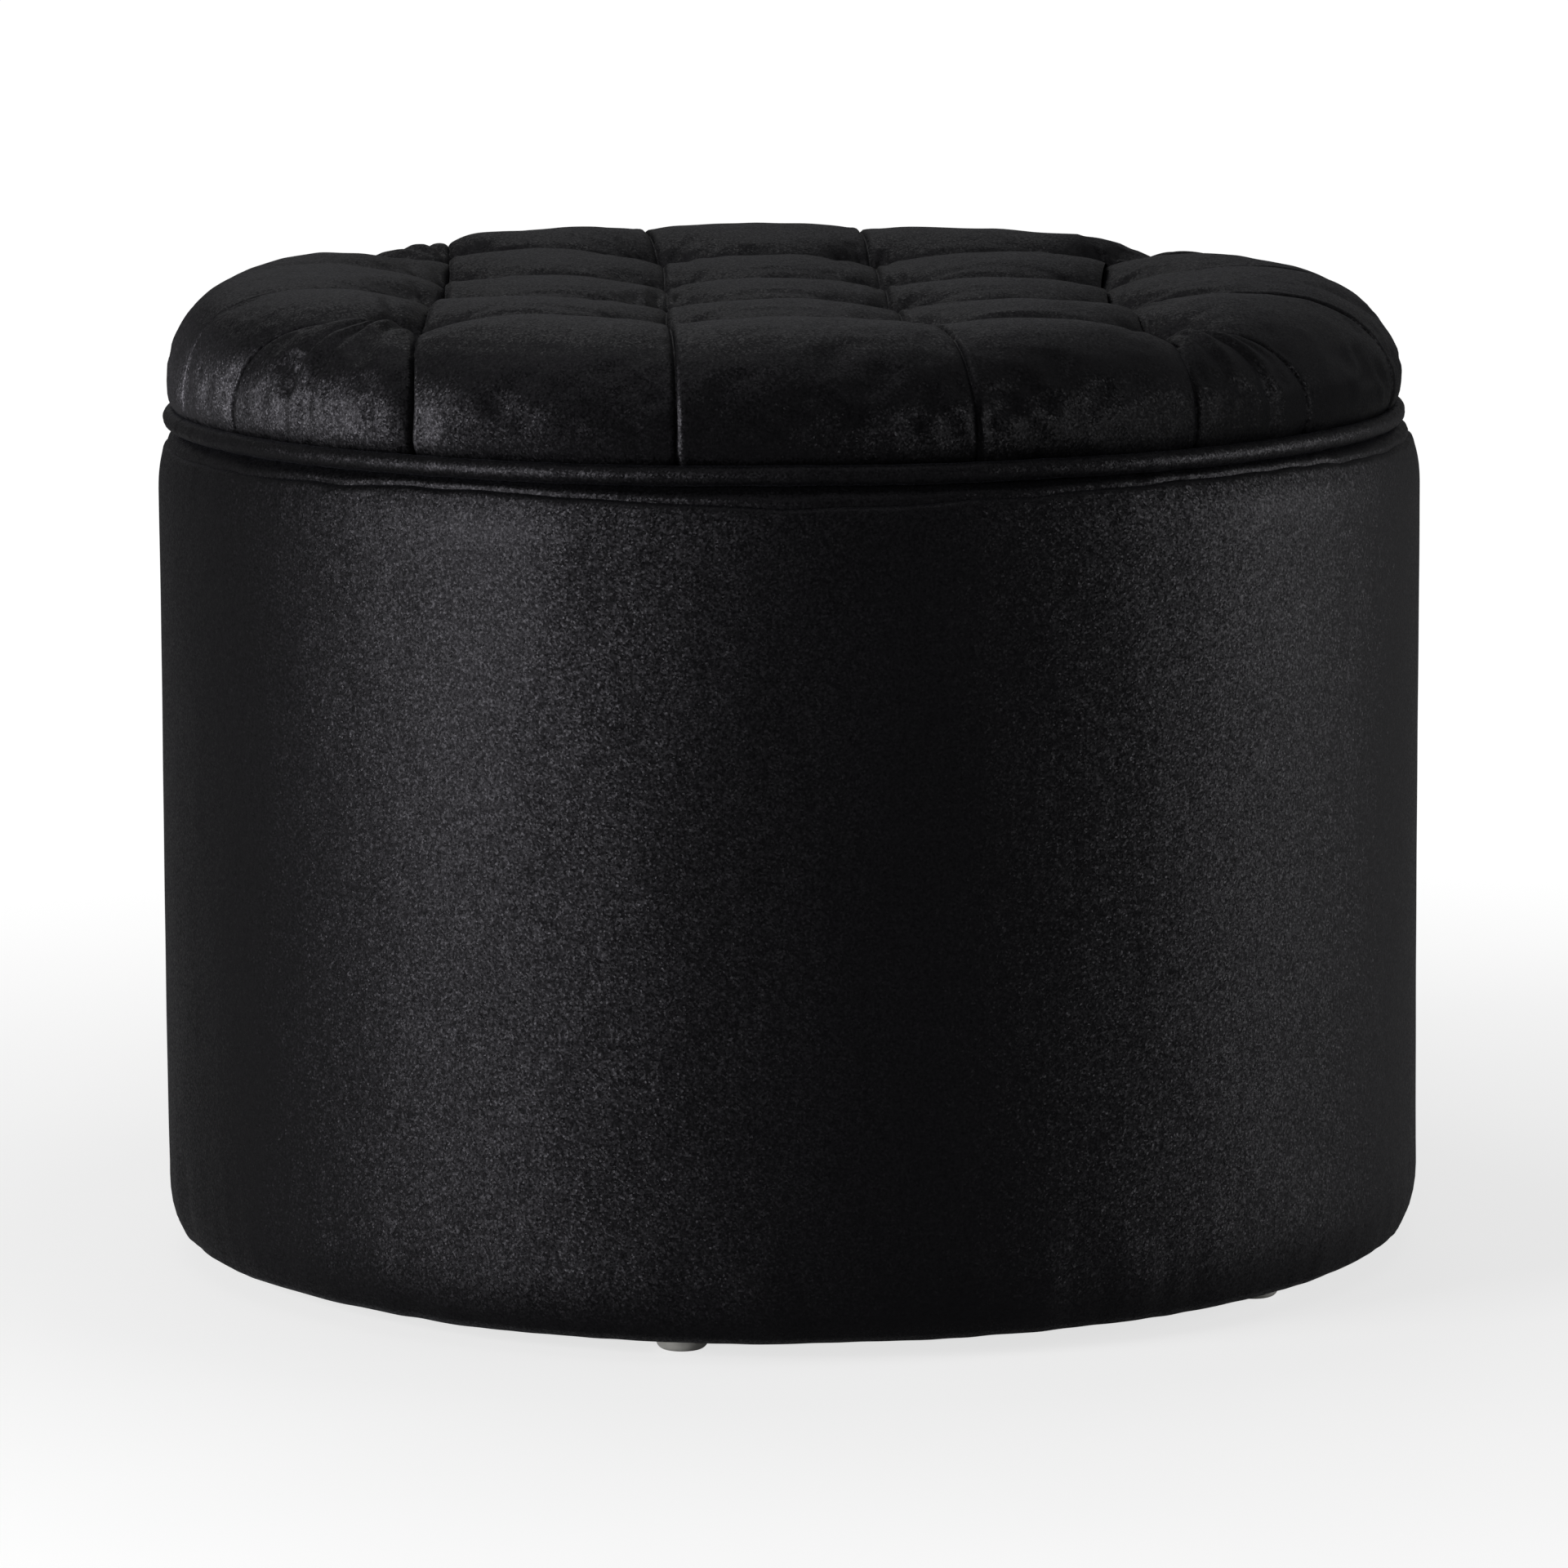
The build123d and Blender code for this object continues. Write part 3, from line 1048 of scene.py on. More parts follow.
    def skin(self, shape: Profile, length: Array, angle: Array, lift: Array) -> Array:
        """Places the cover's points.

        Args:
            shape: The outline.
            length: Distance along the outline.
            angle: Angle from the front.
            lift: Height along the normal.

        Returns:
            Points in millimetres.
        """
        radius, height = shape.at(length)
        across, up = shape.normal(length)
        radius = radius + across * lift
        height = height + up * lift
        share = ease(height, self.underside + 20, self.crest - 12)
        slope = self.tilt * np.cos(angle) + self.lean * np.sin(angle)
        height = height - slope * (radius / self.CREST_RADIUS) ** 1.6 * share
        points = around(angle, radius, height)
        points[..., 0] += self.shift * ease(points[..., 2], self.underside + 0.5, self.underside + 9)
        return points

    def build(self) -> Thing:
        """Makes the cushion.

        Returns:
            The object.
        """
        grids = self.grids(self.span, False)
        moves = self.settle()
        grids = [grid + finer(move, *grid.shape[:2]) for grid, move in zip(grids, moves)]
        return self.closed("lid_cushion", grids).build(self.velvet)

    def grids(self, span: int, plain: bool) -> list[Array]:
        """Shapes the cover.

        Args:
            span: Points across a pillow.
            plain: Whether the small folds are left out.

        Returns:
            Grids of points: nine inner pillows and then the parts of the roll.
        """
        shape = self.outline()
        bulge = int(np.argmax(shape.radius))
        rising = (shape.radius[: bulge + 1], shape.length[: bulge + 1])
        even = np.linspace(0, 1, span)
        packed = 0.2 * even + 0.8 * (1 - np.cos(math.pi * even)) / 2
        return self.pillows(shape, packed, rising, plain) + self.roll(shape, packed, rising, plain)

    def closed(self, name: str, grids: list[Array]) -> Draft:
        """Collects the cover's grids and closes them below.

        Args:
            name: Name of the mesh.
            grids: The cover's grids.

        Returns:
            The mesh.
        """
        draft = Draft(name)
        for number, grid in enumerate(grids):
            draft.grid(grid)
            if number >= self.INNER:
                inner = grid[-1]
                centre = np.zeros_like(inner)
                centre[:, 2] = self.underside
                draft.grid(np.stack([inner, 0.5 * inner + 0.5 * centre, centre]))
        return draft

    def settle(self) -> list[Array]:
        """Lets the stuffing press the cover out as cloth that the tufts, creases and waist hold.

        Returns:
            How far each point of the coarse grids moved, in millimetres.
        """
        grids = self.grids(self.coarse, True)
        piece = self.closed("lid_settling", grids).build(self.velvet)
        rest = np.empty(3 * len(piece.data.vertices))
        piece.data.vertices.foreach_get("co", rest)
        rest = rest.reshape(-1, 3)
        tree = KDTree(len(rest))
        for number, point in enumerate(rest):
            tree.insert(point, number)
        tree.balance()
        hold = piece.vertex_groups.new(name="held")
        for number, weight in enumerate(self.held(rest / MM)):
            hold.add([number], float(weight), "REPLACE")
        cloth = piece.modifiers.new("settle", "CLOTH")
        cloth.settings.quality = 6
        cloth.settings.use_pressure = True
        cloth.settings.uniform_pressure_force = self.pressure
        cloth.settings.shrink_min = -self.slack
        cloth.settings.bending_stiffness = self.stiffness
        cloth.settings.vertex_group_mass = "held"
        cloth.settings.effector_weights.gravity = 0.0
        scene = bpy.context.scene
        for number in range(1, self.frames + 1):
            scene.frame_set(number)
        shown = piece.evaluated_get(bpy.context.evaluated_depsgraph_get()).data
        moved = np.empty(3 * len(shown.vertices))
        shown.vertices.foreach_get("co", moved)
        move = (moved.reshape(-1, 3) - rest) / MM
        size = np.linalg.norm(move, axis=1, keepdims=True)
        LOG.info("lid_settling: moved %.2f mm, at the median %.2f mm", size.max(), np.median(size))
        move = move * self.cap * np.tanh(size / self.cap) / np.maximum(size, 1e-6)
        scene.frame_set(1)
        mesh = piece.data
        bpy.data.objects.remove(piece)
        bpy.data.meshes.remove(mesh)
        found = [[tree.find(point)[1] for point in (grid * MM).reshape(-1, 3)] for grid in grids]
        return [move[index].reshape(grid.shape) for index, grid in zip(found, grids)]

    def held(self, points: Array) -> Array:
        """How firmly tufts, creases and waist hold the cover.

        Args:
            points: Points of the cover in millimetres.

        Returns:
            Weights from 0, free, to 1, fixed.
        """
        plan = points[:, None, :2] - np.array([self.shift, 0]) - self.TUFTS.reshape(1, -1, 2)
        away = np.linalg.norm(plan, axis=2).min(axis=1)
        lines = np.abs(np.abs(np.abs(points[:, 1]) - self.PITCH) - self.HALF)
        crease = 0.5 * bell(lines, 8) * (np.abs(points[:, 0]) < 150)
        waist = 1 - ease(points[:, 2], self.underside + 16, self.underside + 30)
        return np.clip(np.maximum.reduce([1 - ease(away, 9, 20), crease, waist]), 0, 1)

    def pillows(self, shape: Profile, packed: Array, rising: tuple[Array, Array], plain: bool) -> list[Array]:
        """Shapes the nine inner pillows.

        Args:
            shape: The outline.
            packed: Shares across a pillow, closer at its edges.
            rising: Radius and length of the outline up to its largest radius.
            plain: Whether the small folds are left out.

        Returns:
            Grids of points.
        """
        grids = []
        tufts = self.laid(self.TUFTS, rising)
        f, g = np.meshgrid(packed, packed)
        f3, g3 = f[..., None], g[..., None]
        p, q = 2 * f - 1, 2 * g - 1
        by_column, by_row = self.HALF * (1 - np.abs(p)), self.HALF * (1 - np.abs(q))
        lip = bell(self.PITCH * f - 2.8, 1.7) * ease(self.PITCH * f, 0, 1.5)
        for row, column in np.ndindex(3, 3):
            (a, b), (c, d) = self.TUFTS[row : row + 2, column : column + 2]
            plan = (1 - g3) * ((1 - f3) * a + f3 * b) + g3 * ((1 - f3) * c + f3 * d)
            lift = -self.row_sink * q**2 - self.row_cut * np.exp(-by_row / 5)
            lift = lift - self.column_sink * np.abs(p) ** 2.2 - self.column_cut * np.exp(-by_column / 3)
            if not plain:
                lift = lift + 0.8 * lip * (1 - q**2)
                lift = lift + self.arcs(p, q, 10 * row + column)
            flat = self.laid(plan, rising)
            lift = lift + self.relief(flat, tufts, plain)
            angle = np.arctan2(plan[..., 0], -plan[..., 1])
            grids.append(self.skin(shape, np.linalg.norm(flat, axis=-1), angle, lift))
        return grids

    def laid(self, points: Array, rising: tuple[Array, Array]) -> Array:
        """Lays plan points flat.

        Args:
            points: Points in plan.
            rising: Radius and length of the outline up to its largest radius.

        Returns:
            The flat points.
        """
        away = np.linalg.norm(points, axis=-1)
        walked = np.interp(away, *rising)
        return points * (walked / np.maximum(away, 1e-6))[..., None]

    def arcs(self, p: Array, q: Array, seed: int) -> Array:
        """Relief of the long bent wrinkles that run from tuft to tuft in a pillow.

        Args:
            p: Place across the pillow, -1 to 1.
            q: Place along it, -1 at the front to 1.
            seed: Seed of the wrinkles.

        Returns:
            Height along the normal.
        """
        rng = np.random.default_rng(seed)
        lift = np.zeros_like(p)
        for side in (-1, 1):
            for _ in range(int(rng.integers(1, 4))):
                rise = rng.uniform(0.16, 0.62)
                middle = rng.uniform(-0.35, 0.35)
                line = side * (1 - rise * (1 - p**2))
                fade = bell(p - middle, rng.uniform(0.3, 0.6)) * (1 - p**4)
                width = rng.uniform(1.3, 2.2)
                section = groove((q - line) * self.HALF * side, width, (0.6, -2.4, 1.4))
                lift = lift - rng.uniform(0.4, 0.9) * fade * section
        return lift

    def roll(self, shape: Profile, packed: Array, rising: tuple[Array, Array], plain: bool) -> list[Array]:
        """Shapes the outer roll, its pleats, corner fans and side.

        Args:
            shape: The outline.
            packed: Shares between two pleats, closer at them.
            rising: Radius and length of the outline up to its largest radius.
            plain: Whether the small folds are left out.

        Returns:
            Grids of points.
        """
        grids = []
        tufts = self.laid(self.TUFTS, rising)
        widest, turn_s = float(rising[0][-1]), float(rising[1][-1])
        rows = int(len(packed) * 2.3)
        even = np.linspace(0, 1, rows)
        walk = 0.55 * even + 0.45 * even**2
        for index, first in enumerate(self.PLEATS):
            last = self.PLEATS[(index + 1) % len(self.PLEATS)]
            start, stop = self.TUFTS[first.row, first.column], self.TUFTS[last.row, last.column]
            stop_angle = last.angle if last.angle > first.angle else last.angle + 360
            from_point = (1 - packed)[:, None] * start + packed[:, None] * stop
            to_angle = np.radians((1 - packed) * first.angle + packed * stop_angle)
            to_point = widest * np.stack([np.sin(to_angle), -np.cos(to_angle)], axis=1)
            begin = np.interp(np.linalg.norm(from_point, axis=1), *rising)
            length = begin[None, :] + (shape.end - begin)[None, :] * walk[:, None]
            radius, _ = shape.at(np.minimum(length, turn_s))
            run = to_point - from_point
            dot = (from_point * run).sum(axis=1)[None, :]
            size = (run**2).sum(axis=1)[None, :]
            rest = (from_point**2).sum(axis=1)[None, :] - radius**2
            share = np.clip((-dot + np.sqrt(np.maximum(dot**2 - size * rest, 0))) / size, 0, 1)
            share = np.where(length >= turn_s, 1.0, share)
            plan = from_point[None] + share[..., None] * run[None]
            angle = np.arctan2(plan[..., 0], -plan[..., 1])
            flat = length[..., None] * np.stack([np.sin(angle), -np.cos(angle)], axis=-1)
            away = length - begin[None, :]
            wide = np.linalg.norm(flat[:, -1] - flat[:, 0], axis=1)[:, None]
            f = packed[None, :]
            lift = self.pleats(f, away, wide, first, last, not np.allclose(start, stop))
            for fold in () if plain else self.FANS.get(index, ()):
                lift = lift + self.fan(f, away, wide, fold)
            hem = 1 - ease(length, shape.end - 22, shape.end - 14)
            lift = (lift + self.relief(flat, tufts, plain)) * hem
            gather = 0.14 * Ripple(31, 11).at(angle * 270, length * 0.25)
            lift = lift + gather * bell(length - shape.end + 30, 12) * hem
            grids.append(self.skin(shape, length, angle, lift))
        return grids

    def pleats(self, f: Array, away: Array, wide: Array, first: Pleat, last: Pleat, tufted: bool) -> Array:
        """Relief of the crease along the outer tufts and of the two pleats beside a part of the roll.

        Args:
            f: Share from the first pleat to the last.
            away: Distance from the tufts along the cover.
            wide: Distance between the two pleats.
            first: Pleat on the left.
            last: Pleat on the right.
            tufted: Whether the part starts at a crease between two tufts.

        Returns:
            Height along the normal.
        """
        near_first = ease(1 - f, 0.0, 1.0)
        strength = first.strength * near_first + last.strength * (1 - near_first)
        p = 2 * f - 1
        beside = np.minimum(f, 1 - f) * wide
        u = np.clip(away / self.HALF, 0, 1)
        row = self.row_sink * (1 - u) ** 2 + self.row_cut * np.exp(-away / 5)
        if not tufted:
            row = row * np.exp(-beside / 9)
        tables = (self.BROAD, self.SHARP, self.REACH, self.SLIT)
        broad, sharp, reach, slit = (np.interp(away, self.STATIONS, table) for table in tables)
        grown = 1 + (strength - 1) * ease(away, 0, 40)
        lift = -row - broad * self.column_sink * np.abs(p) ** 2.2
        lift = lift - self.column_cut * sharp * grown * np.exp(-beside / reach)
        lift = lift - slit * strength * bell(beside, 1.1)
        beyond = f * wide
        lip = bell(beyond - 3.4, 1.9) * ease(beyond, 0, 2) * ease(away, 15, 50)
        return lift + 0.55 * first.strength * lip

    def fan(self, f: Array, away: Array, wide: Array, fold: Fold) -> Array:
        """Relief of one fold in a corner fan.

        Args:
            f: Share between the fan's pleats.
            away: Distance from the tuft.
            wide: Distance between the pleats.
            fold: The fold.

        Returns:
            Height along the normal.
        """
        fade = ease(away, 8, 20) * (1 - ease(away, 0.5 * fold.reach, fold.reach))
        section = groove((f - fold.share) * wide, 1.8 + 0.02 * away, (0.45, 2.4, 1.5))
        hold = ease(np.minimum(f, 1 - f) * wide, 0, 3)
        return -fold.depth * fade * section * hold


@dataclass
class TuftButtons:
    """Velvet buttons at the bottom of the tufts.

    Attributes:
        velvet: Finish of the buttons.
        places: The tufts' places in plan.
        shift: How far the lid lies to the right of the drum's middle, in millimetres.
        sides: Points round a button.
        rings: Rows of points from its top to its edge.
        tuck: Width of its underside, as a share.
    """

    velvet: Material
    places: Array
    shift: float
    sides: int = 40
    rings: int = 14
    tuck: float = 0.86

    def build(self) -> list[tuple[Thing, str]]:
        """Makes the buttons.

        Returns:
            Each button with the node that it replaces.
        """
        made = []
        spots = self.places.reshape(-1, 2)
        for number in range(1, 17):
            node = f"tuft_button_{number}"
            low, high = corners(node)
            middle = (low + high) / 2
            spot = spots[int(np.argmin(np.linalg.norm(spots - middle[:2], axis=1)))]
            radius, tall = (high[0] - low[0]) / 2, high[2] - low[2]
            theta = turns(self.sides)[None, :]
            rise = np.linspace(0, 1, self.rings)[:, None]
            turn = rise * math.pi * 0.5
            r = radius * np.sin(turn) * (1 + 0.012 * np.sin(theta * 13 + number) * rise)
            z = low[2] + tall * np.cos(turn) * (1 - 0.03 * np.cos(theta * 7 + number) * rise)
            shell = around(theta, r, z)
            under = shell[-1:] * np.array([self.tuck, self.tuck, 1.0])
            core = under * np.array([0.0, 0.0, 1.0])
            points = np.concatenate([shell, under, core])
            points[..., 0] += spot[0] + self.shift
            points[..., 1] += spot[1]
            draft = Draft(f"velvet_button_{number}")
            draft.grid(points, wrap=True)
            made.append((draft.build(self.velvet, 0.005), node))
        return made


@dataclass
class Welt:
    """The velvet welt round the lid's waist.

    Attributes:
        velvet: Finish of the welt.
        shift: How far the lid lies to the right of the drum's middle, in millimetres.
        sides: Points round the lid.
        rings: Points round the welt.
    """

    velvet: Material
    shift: float
    sides: int = 900
    rings: int = 22

    def build(self) -> Thing:
        """Makes the welt.

        Returns:
            The object.
        """
        low, high = corners("welt_sleeve")
        thick = (high[2] - low[2]) / 2
        ring = high[0] - thick
        middle = (high[2] + low[2]) / 2
        theta, turn = turns(self.sides), turns(self.rings)
        walk = theta * ring
        circle_x, circle_y = ring * np.sin(theta), -ring * np.cos(theta)
        wave = 0.45 * Ripple(41, 120).at(circle_x, circle_y)
        gather = 0.16 * Ripple(42, 9).at(circle_x, circle_y) + 0.1 * np.sin(walk / 4.1 + 2 * wave)
        tube = thick - 0.25 + gather[None, :] * (0.6 + 0.4 * np.cos(turn))[:, None]
        radius = ring + tube * np.cos(turn)[:, None] - 0.2
        height = middle + wave[None, :] * 0.5 + tube * np.sin(turn)[:, None]
        points = around(theta[None, :], radius, np.maximum(height, low[2] + 0.05))
        draft = Draft("lid_welt")
        draft.grid(points + np.array([self.shift, 0, 0]), wrap=True, turn=True)
        return draft.build(self.velvet)


@dataclass
class DrumCover:
    """The velvet side and rim of the drum, joined at a wavy seam.

    Attributes:
        velvet: Finish of both.
        sides: Points round the drum.
        shoulder: Width and height of the rounded top edge, in millimetres.
        heel: Width and height of the rounded bottom edge.
        lip: Radius of the rim's inner edge.
        hem: Width of the hem below.
        thick: Thickness of the velvet.
        girth: Radius at which the unevenness is read.
    """

    velvet: Material
    sides: int = 720
    shoulder: tuple[float, float] = (12.0, 27.0)
    heel: tuple[float, float] = (10.0, 30.0)
    lip: float = 6.0
    hem: float = 40.0
    thick: float = 1.3
    girth: float = 280.0

    # Angle from the front towards the right, in degrees, and height of the seam there.
    SEAM = (
        (0, 359.6), (30, 363.8), (45, 365.2), (65, 362.6), (100, 361.5), (150, 363), (180, 361.8),
        (215, 363.2), (255, 361.6), (290, 360.2), (315, 362.5), (330, 364.8), (345, 362.4), (360, 359.6),
    )

    def outline(self) -> Profile:
        """The drum's skin from the bottom of the inner skirt, over the rim and down to the hem below.

        Returns:
            The outline.
        """
        side_low, side_high = corners("side_cover")
        rim_low, rim_high = corners("rim_cover")
        outer, top, bottom, skirt = side_high[0], rim_high[2], side_low[2], rim_low[2]
        inner = self.opening()
        quarter = np.radians(np.linspace(0, 90, 13))
        sine, cosine = np.sin(quarter), np.cos(quarter)
        (wide, tall), (long, low), lip = self.shoulder, self.heel, self.lip
        points = [(inner, skirt), (inner, top - lip)]
        points += zip(inner + lip - lip * cosine[1:], top - lip + lip * sine[1:])
        points += zip(outer - wide + wide * sine, top - tall + tall * cosine)
        points += zip(outer - long + long * cosine, bottom + low - low * sine)
        points += [(outer - long - self.hem, bottom)]
        return Profile.through(points, 2)

    def opening(self) -> float:
        """Inside radius of the rim.

        Returns:
            The radius in millimetres.
        """
        _, high = corners("wall_lining")
        return float(high[0] - 1.5)

    def build(self) -> list[tuple[Thing, str]]:
        """Makes the rim band and the side.

        Returns:
            Each piece with the node that it replaces.
        """
        shape = self.outline()
        theta = turns(self.sides)
        table = np.array(self.SEAM)
        seam_z = np.interp(np.degrees(theta), table[:, 0], table[:, 1])
        kernel = np.hanning(41)
        kernel /= kernel.sum()
        seam_z = np.convolve(np.concatenate([seam_z[-20:], seam_z, seam_z[:20]]), kernel, "valid")
        seam_z = seam_z + 0.5 * Ripple(51, 34).at(self.girth * np.sin(theta), self.girth * np.cos(theta))
        falling = shape.length > float(shape.length[int(np.argmax(shape.height))])
        high = shape.radius > 0.5 * (shape.radius.max() + self.opening())
        part = falling & high
        seam = np.interp(-seam_z, -shape.height[part], shape.length[part])
        side = self.band("drum_side", shape, theta, seam, np.full_like(seam, shape.end), 96, seam)
        rim = self.band("rim_band", shape, theta, np.zeros_like(seam), seam, 44, seam)
        return [(side, "side_cover"), (rim, "rim_cover")]

    def band(
        self,
        name: str,
        shape: Profile,
        theta: Array,
        begin: Array,
        stop: Array,
        rows: int,
        seam: Array,
    ) -> Thing:
        """Makes one band of the skin, closed at its back.

        Args:
            name: Name of the piece.
            shape: The outline.
            theta: Angles round the drum.
            begin: Length along the outline where the band starts, for each angle.
            stop: Length where it ends.
            rows: Points along the outline.
            seam: Length of the seam.

        Returns:
            The object.
        """
        even = np.linspace(0, 1, rows)
        share = even**1.6 if name == "drum_side" else 1 - (1 - even) ** 1.5
        length = begin[None, :] + (stop - begin)[None, :] * share[:, None]
        lift = self.relief(length, theta, seam, shape)
        radius, height = shape.at(length)
        across, up = shape.normal(length)
        angle = np.broadcast_to(theta[None, :], length.shape)
        front = around(angle, radius + across * lift, height + up * lift)
        back_lift = lift - self.thick
        back = around(angle, radius + across * back_lift, height + up * back_lift)[::-1]
        draft = Draft(name)
        draft.grid(np.concatenate([front, back]), wrap=True, turn=True)
        return draft.build(self.velvet)

    def relief(self, length: Array, theta: Array, seam: Array, shape: Profile) -> Array:
        """Soft unevenness, the seam's groove and its puckers.

        Args:
            length: Length along the outline of each point.
            theta: Angles round the drum.
            seam: Length of the seam for each angle.
            shape: The outline.

        Returns:
            Height along the normal.
        """
        circle_x, circle_y, _ = np.broadcast_arrays(
            self.girth * np.sin(theta)[None, :], self.girth * np.cos(theta)[None, :], length
        )
        gap = length - seam[None, :]
        lift = 0.32 * Ripple(61, 150).at(circle_x, circle_y, length * 0.8)
        lift = lift + 0.14 * Ripple(62, 42).at(circle_x, circle_y, length * 0.6)
        lift = lift * (1 - bell(gap, 6))
        lift = lift - 0.9 * bell(gap, 0.9) + 0.3 * bell(np.abs(gap) - 3.0, 1.8)
        pucker = 0.32 * Ripple(63, 12).at(circle_x, circle_y, length * 0.2)
        lift = lift + pucker * np.exp(-np.abs(gap) / 9) * (1 - bell(gap, 3))
        tuck = 0.5 * Ripple(64, 20).at(circle_x, circle_y, length * 0.2)
        foot = shape.end - 62
        return lift + tuck * bell(length - foot, 24) - 0.1


@dataclass
class Lining:
    """The felt cloths inside the drum and below it.

    Attributes:
        cloth: Finish of the cloths.
        sides: Points round the drum.
    """

    cloth: Material
    sides: int = 360

    def disc(self, name: str, node: str, seed: int) -> tuple[Thing, float]:
        """Makes a round cloth.

        Args:
            name: Name of the piece.
            node: Node that it replaces.
            seed: Seed of its unevenness.

        Returns:
            The object and its radius in metres.
        """
        low, high = corners(node)
        outer = float(high[0])
        theta = turns(self.sides)[None, :]
        radius = outer * np.linspace(0, 1, 60)[:, None] ** 0.8
        x, y = radius * np.sin(theta), -radius * np.cos(theta)
        thick = float(high[2] - low[2])
        wave = 0.12 * thick * (Ripple(seed, 70).at(x, y) + Ripple(seed + 1, 24).at(x, y))
        up = around(theta, radius, high[2] - 0.2 * thick + wave)
        down = around(theta, radius, low[2] + 0.2 * thick + wave)
        draft = Draft(name)
        draft.grid(np.concatenate([up, down[::-1]]), wrap=True)
        return draft.build(self.cloth, 0.005), outer * MM

    def wall(self) -> tuple[Thing, tuple[float, float]]:
        """Makes the cloth round the inside wall, with its overlap seam at the back.

        Returns:
            The object and its flat width and height in metres.
        """
        low, high = corners("wall_lining")
        outer = float(high[0])
        theta = turns(self.sides)[None, :]
        height = low[2] + (high[2] - low[2]) * np.linspace(0, 1, 40)[:, None]
        x, y, _ = np.broadcast_arrays(outer * np.sin(theta), outer * np.cos(theta), height)
        wave = 0.18 * Ripple(71, 60).at(x, y, height * 0.3)
        wave = wave + 0.1 * Ripple(72, 18).at(x, y, height * 0.4)
        join = bell((theta - math.pi) * outer, 3.5)
        near = np.clip(outer - 0.85 - np.abs(wave) - 0.5 * join, outer - 1.9, outer - 0.6)
        face = around(theta, near, height)
        rear = around(theta, np.full_like(near, outer - 0.1), height)
        draft = Draft("wall_cloth")
        draft.grid(np.concatenate([face, rear[::-1]]), wrap=True, turn=True)
        flat = (FULL_TURN * outer * MM, float(high[2] - low[2]) * MM)
        return draft.build(self.cloth, 0.005), flat


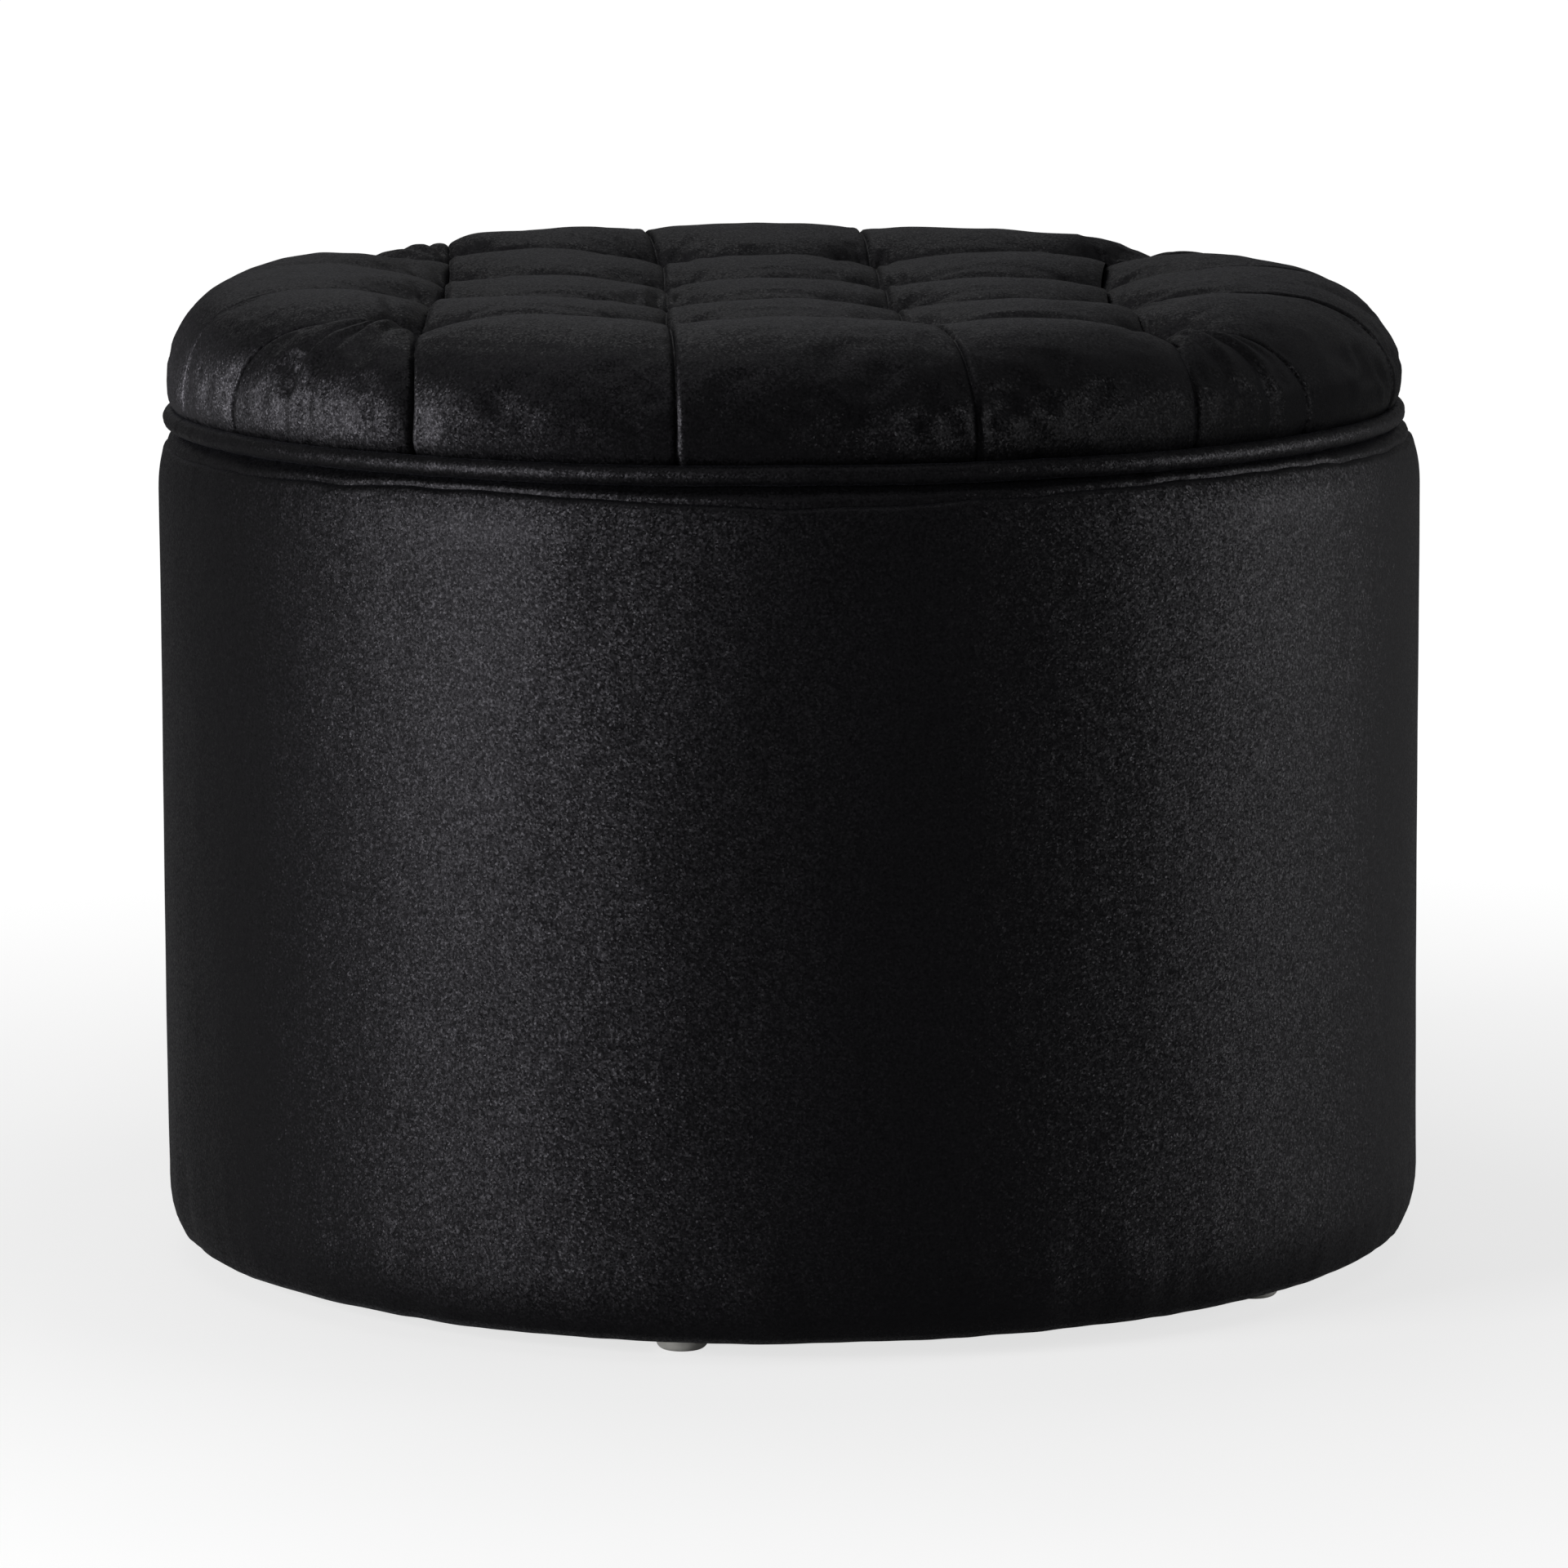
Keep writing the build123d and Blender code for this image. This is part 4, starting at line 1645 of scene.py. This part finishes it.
@dataclass
class Studio:
    """Floor, lights, world and camera.

    Attributes:
        lens: Focal length in millimetres on a 36 mm sensor.
        place: Camera's place in metres.
        pitch: Angle down in radians.
        yaw: Turn to the left in radians.
        roll: Roll in radians.
        mirrored: Share of the white background that reflections show, low so that black velvet stays black.
        dim: Strength of the world's even light.
        aim: Place that the lamps face, in metres.
        reach: Distance to the floor's edges in millimetres.
    """

    lens: float = 183.94
    place: tuple[float, float, float] = (0.0, -3.5457, 0.7395)
    pitch: float = 0.15
    yaw: float = 0.0008
    roll: float = -0.0051
    mirrored: float = 0.06
    dim: float = 0.05
    aim: tuple[float, float, float] = (0.0, 0.0, 0.25)
    reach: float = 30000

    # Name, angle, distance, height, size and power of each softbox.
    LAMPS = (
        ("left_softbox", -54, 2.1, 0.45, (0.9, 1.3), 44),
        ("right_softbox", 88, 2.6, 0.5, (1.8, 1.2), 27),
        ("back_softbox", 202, 2.0, 2.2, (2.4, 1.0), 4.5),
        ("top_softbox", 0, 0.2, 2.6, (1.8, 1.8), 8),
    )

    def build(self) -> None:
        """Makes the studio."""
        self.camera()
        self.floor()
        self.world()
        for lamp in self.LAMPS:
            self.lamp(*lamp)

    def camera(self) -> None:
        """Makes the camera."""
        data = bpy.data.cameras.new("photo_camera")
        data.lens = self.lens
        data.sensor_width = 36
        data.sensor_fit = "HORIZONTAL"
        data.clip_end = 200
        made = bpy.data.objects.new("photo_camera", data)
        turn = Matrix.Rotation(self.yaw, 4, "Z") @ Matrix.Rotation(math.pi / 2 - self.pitch, 4, "X")
        made.matrix_world = Matrix.Translation(self.place) @ turn @ Matrix.Rotation(self.roll, 4, "Z")
        bpy.context.scene.collection.objects.link(made)
        bpy.context.scene.camera = made

    def lamp(
        self, name: str, angle: float, away: float, high: float, size: tuple[float, float], power: float
    ) -> None:
        """Makes a softbox that faces the ottoman.

        Args:
            name: Name of the lamp.
            angle: Angle from the camera's side towards the right, in degrees.
            away: Distance in metres.
            high: Height in metres.
            size: Width and height in metres.
            power: Power in watts.
        """
        data = bpy.data.lights.new(name, "AREA")
        data.shape = "RECTANGLE"
        data.size, data.size_y = size
        data.energy = power
        made = bpy.data.objects.new(name, data)
        turn = math.radians(angle)
        spot = np.array([away * math.sin(turn), -away * math.cos(turn), high])
        x, y, z = np.array(self.aim) - spot
        made.location = spot.tolist()
        made.rotation_euler = (math.atan2(math.hypot(x, y), -z), 0, math.atan2(y, x) - math.pi / 2)
        bpy.context.scene.collection.objects.link(made)

    def floor(self) -> None:
        """Makes the pale floor, which shows white to the camera away from the shadow."""
        n = Nodes("pale_floor")
        tone = n.noise(3, 2)
        grey = n.ramp(tone, [(0.3, (0.29, 0.29, 0.29)), (0.7, (0.32, 0.32, 0.32))])
        n.join(grey, n.shader.inputs["Base Color"])
        n.set(Roughness=0.6, Specular_IOR_Level=0.2, Emission_Color=(1, 1, 1, 1))
        distance = n.add("ShaderNodeVectorMath", operation="LENGTH")
        n.join(n.place, distance.inputs[0])
        seen = n.add("ShaderNodeMath", operation="MULTIPLY")
        n.join(self.showing(n.tree), seen.inputs[0])
        n.join(n.span(distance.outputs["Value"], (0.35, 1.4), (0.72, 1.0)), seen.inputs[1])
        n.join(seen.outputs["Value"], n.shader.inputs["Emission Strength"])
        draft = Draft("studio_floor")
        reach = np.linspace(-self.reach, self.reach, 7)
        x, y = np.meshgrid(reach, reach)
        draft.grid(np.stack([x, y, np.zeros_like(x)], axis=-1))
        draft.build(n.material)

    def showing(self, tree: bpy.types.NodeTree) -> Socket:
        """Tells where the white background shows: to the camera, through glass and a little in reflections.

        Args:
            tree: Node tree to write to.

        Returns:
            Share of the background's white.
        """
        path = tree.nodes.new("ShaderNodeLightPath")
        total = path.outputs["Is Camera Ray"]
        for name, share in (("Is Transmission Ray", 1.0), ("Is Glossy Ray", self.mirrored)):
            node = tree.nodes.new("ShaderNodeMath")
            node.operation = "MULTIPLY_ADD"
            node.use_clamp = True
            tree.links.new(path.outputs[name], node.inputs[0])
            node.inputs[1].default_value = share
            tree.links.new(total, node.inputs[2])
            total = node.outputs["Value"]
        return total

    def world(self) -> None:
        """Makes a dim even world that shows white to the camera."""
        world = bpy.data.worlds.new("studio_world")
        world.use_nodes = True
        tree = world.node_tree
        back = tree.nodes["Background"]
        back.inputs["Color"].default_value = (1, 1, 1, 1)
        level = tree.nodes.new("ShaderNodeMapRange")
        level.inputs["To Min"].default_value = self.dim
        level.inputs["To Max"].default_value = 1.0
        tree.links.new(self.showing(tree), level.inputs["Value"])
        tree.links.new(level.outputs["Result"], back.inputs["Strength"])
        bpy.context.scene.world = world


@dataclass
class Ottoman:
    """The whole dressed ottoman.

    Attributes:
        finishes: Every finish.
    """

    frame: dict
    finishes: Finishes

    # Slots of the nodes, by how their names start.
    PLAIN = (
        ("post_screws", Slot.STEEL), ("glide_nails", Slot.STEEL), ("cleat_screws", Slot.STEEL),
        ("tuft_washers", Slot.STEEL), ("tuft_ties", Slot.CORD), ("welt_cord", Slot.CORD),
        ("bottom_board", Slot.PLYWOOD), ("top_ring", Slot.PLYWOOD), ("lid_board", Slot.PLYWOOD),
        ("post_", Slot.PINE), ("locating_cleat", Slot.PINE), ("drum_wall", Slot.HARDBOARD),
        ("inner_wall", Slot.HARDBOARD), ("foam_wrap", Slot.FOAM), ("rim_pad", Slot.FOAM),
        ("lid_foam", Slot.FOAM), ("glide_", Slot.GLIDE), ("lid_lining", Slot.LINING),
        ("floor_lining", Slot.LINING), ("wall_lining", Slot.LINING), ("dust_cover", Slot.LINING),
    )

    def place(self, piece: Thing, body: Body, slot: Slot, *nodes: str) -> Thing:
        """Puts a piece on its body in place of its nodes.

        Args:
            piece: The piece.
            body: Body that it rides on.
            slot: Slot of its finish; not used.
            nodes: Nodes that it replaces.

        Returns:
            The piece.
        """
        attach(piece, body.value)
        if nodes:
            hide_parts(*nodes)
        return piece

    def build(self) -> None:
        """Makes every piece and dresses the rest."""
        velvet, brushed = self.finishes.of(Slot.VELVET), self.finishes.brushed
        low, _ = corners("lid_cover")
        lid = LidCushion(brushed, float(low[2]) + 0.1)
        self.place(lid.build(), Body.LID, Slot.VELVET, "lid_cover", "lid_foam")
        for button, node in TuftButtons(brushed, lid.TUFTS, lid.shift).build():
            self.place(button, Body.LID, Slot.VELVET, node)
        self.place(Welt(velvet, lid.shift).build(), Body.LID, Slot.VELVET, "welt_sleeve", "welt_cord")
        for piece, node in DrumCover(velvet).build():
            self.place(piece, Body.BASE, Slot.VELVET, node)
        self.line()
        self.dress()

    def line(self) -> None:
        """Makes the linings."""
        lining = Lining(self.finishes.of(Slot.LINING))
        wall, flat = lining.wall()
        self.place(wall, Body.BASE, Slot.LINING, "wall_lining")
        rounds = (
            ("floor_cloth", "floor_lining", Body.BASE, "laid", "bottom_board", 81),
            ("dust_cloth", "dust_cover", Body.BASE, "stretched", "bottom_board", 83),
            ("lid_cloth", "lid_lining", Body.LID, "stretched", "lid_board", 85),
        )
        for name, node, body, held, under, seed in rounds:
            piece, radius = lining.disc(name, node, seed)
            self.place(piece, body, Slot.LINING, node)

    def dress(self) -> None:
        """Gives every other node its finish."""
        for name, node in self.frame["nodes"].items():
            slot = next((s for head, s in self.PLAIN if name.startswith(head)), Slot.VELVET)
            node.data.materials.clear()
            node.data.materials.append(self.finishes.of(slot))
            LOG.info("%s takes %s", name, slot.value)


def main() -> None:
    """Builds the scene."""
    logging.basicConfig(level=logging.INFO, format="%(name)s %(message)s")
    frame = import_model()
    bpy.context.scene.view_settings.view_transform = "Standard"
    finishes = Finishes()
    finishes.build()
    Studio().build()
    Ottoman(frame, finishes).build()


if __name__ == "__main__":
    main()
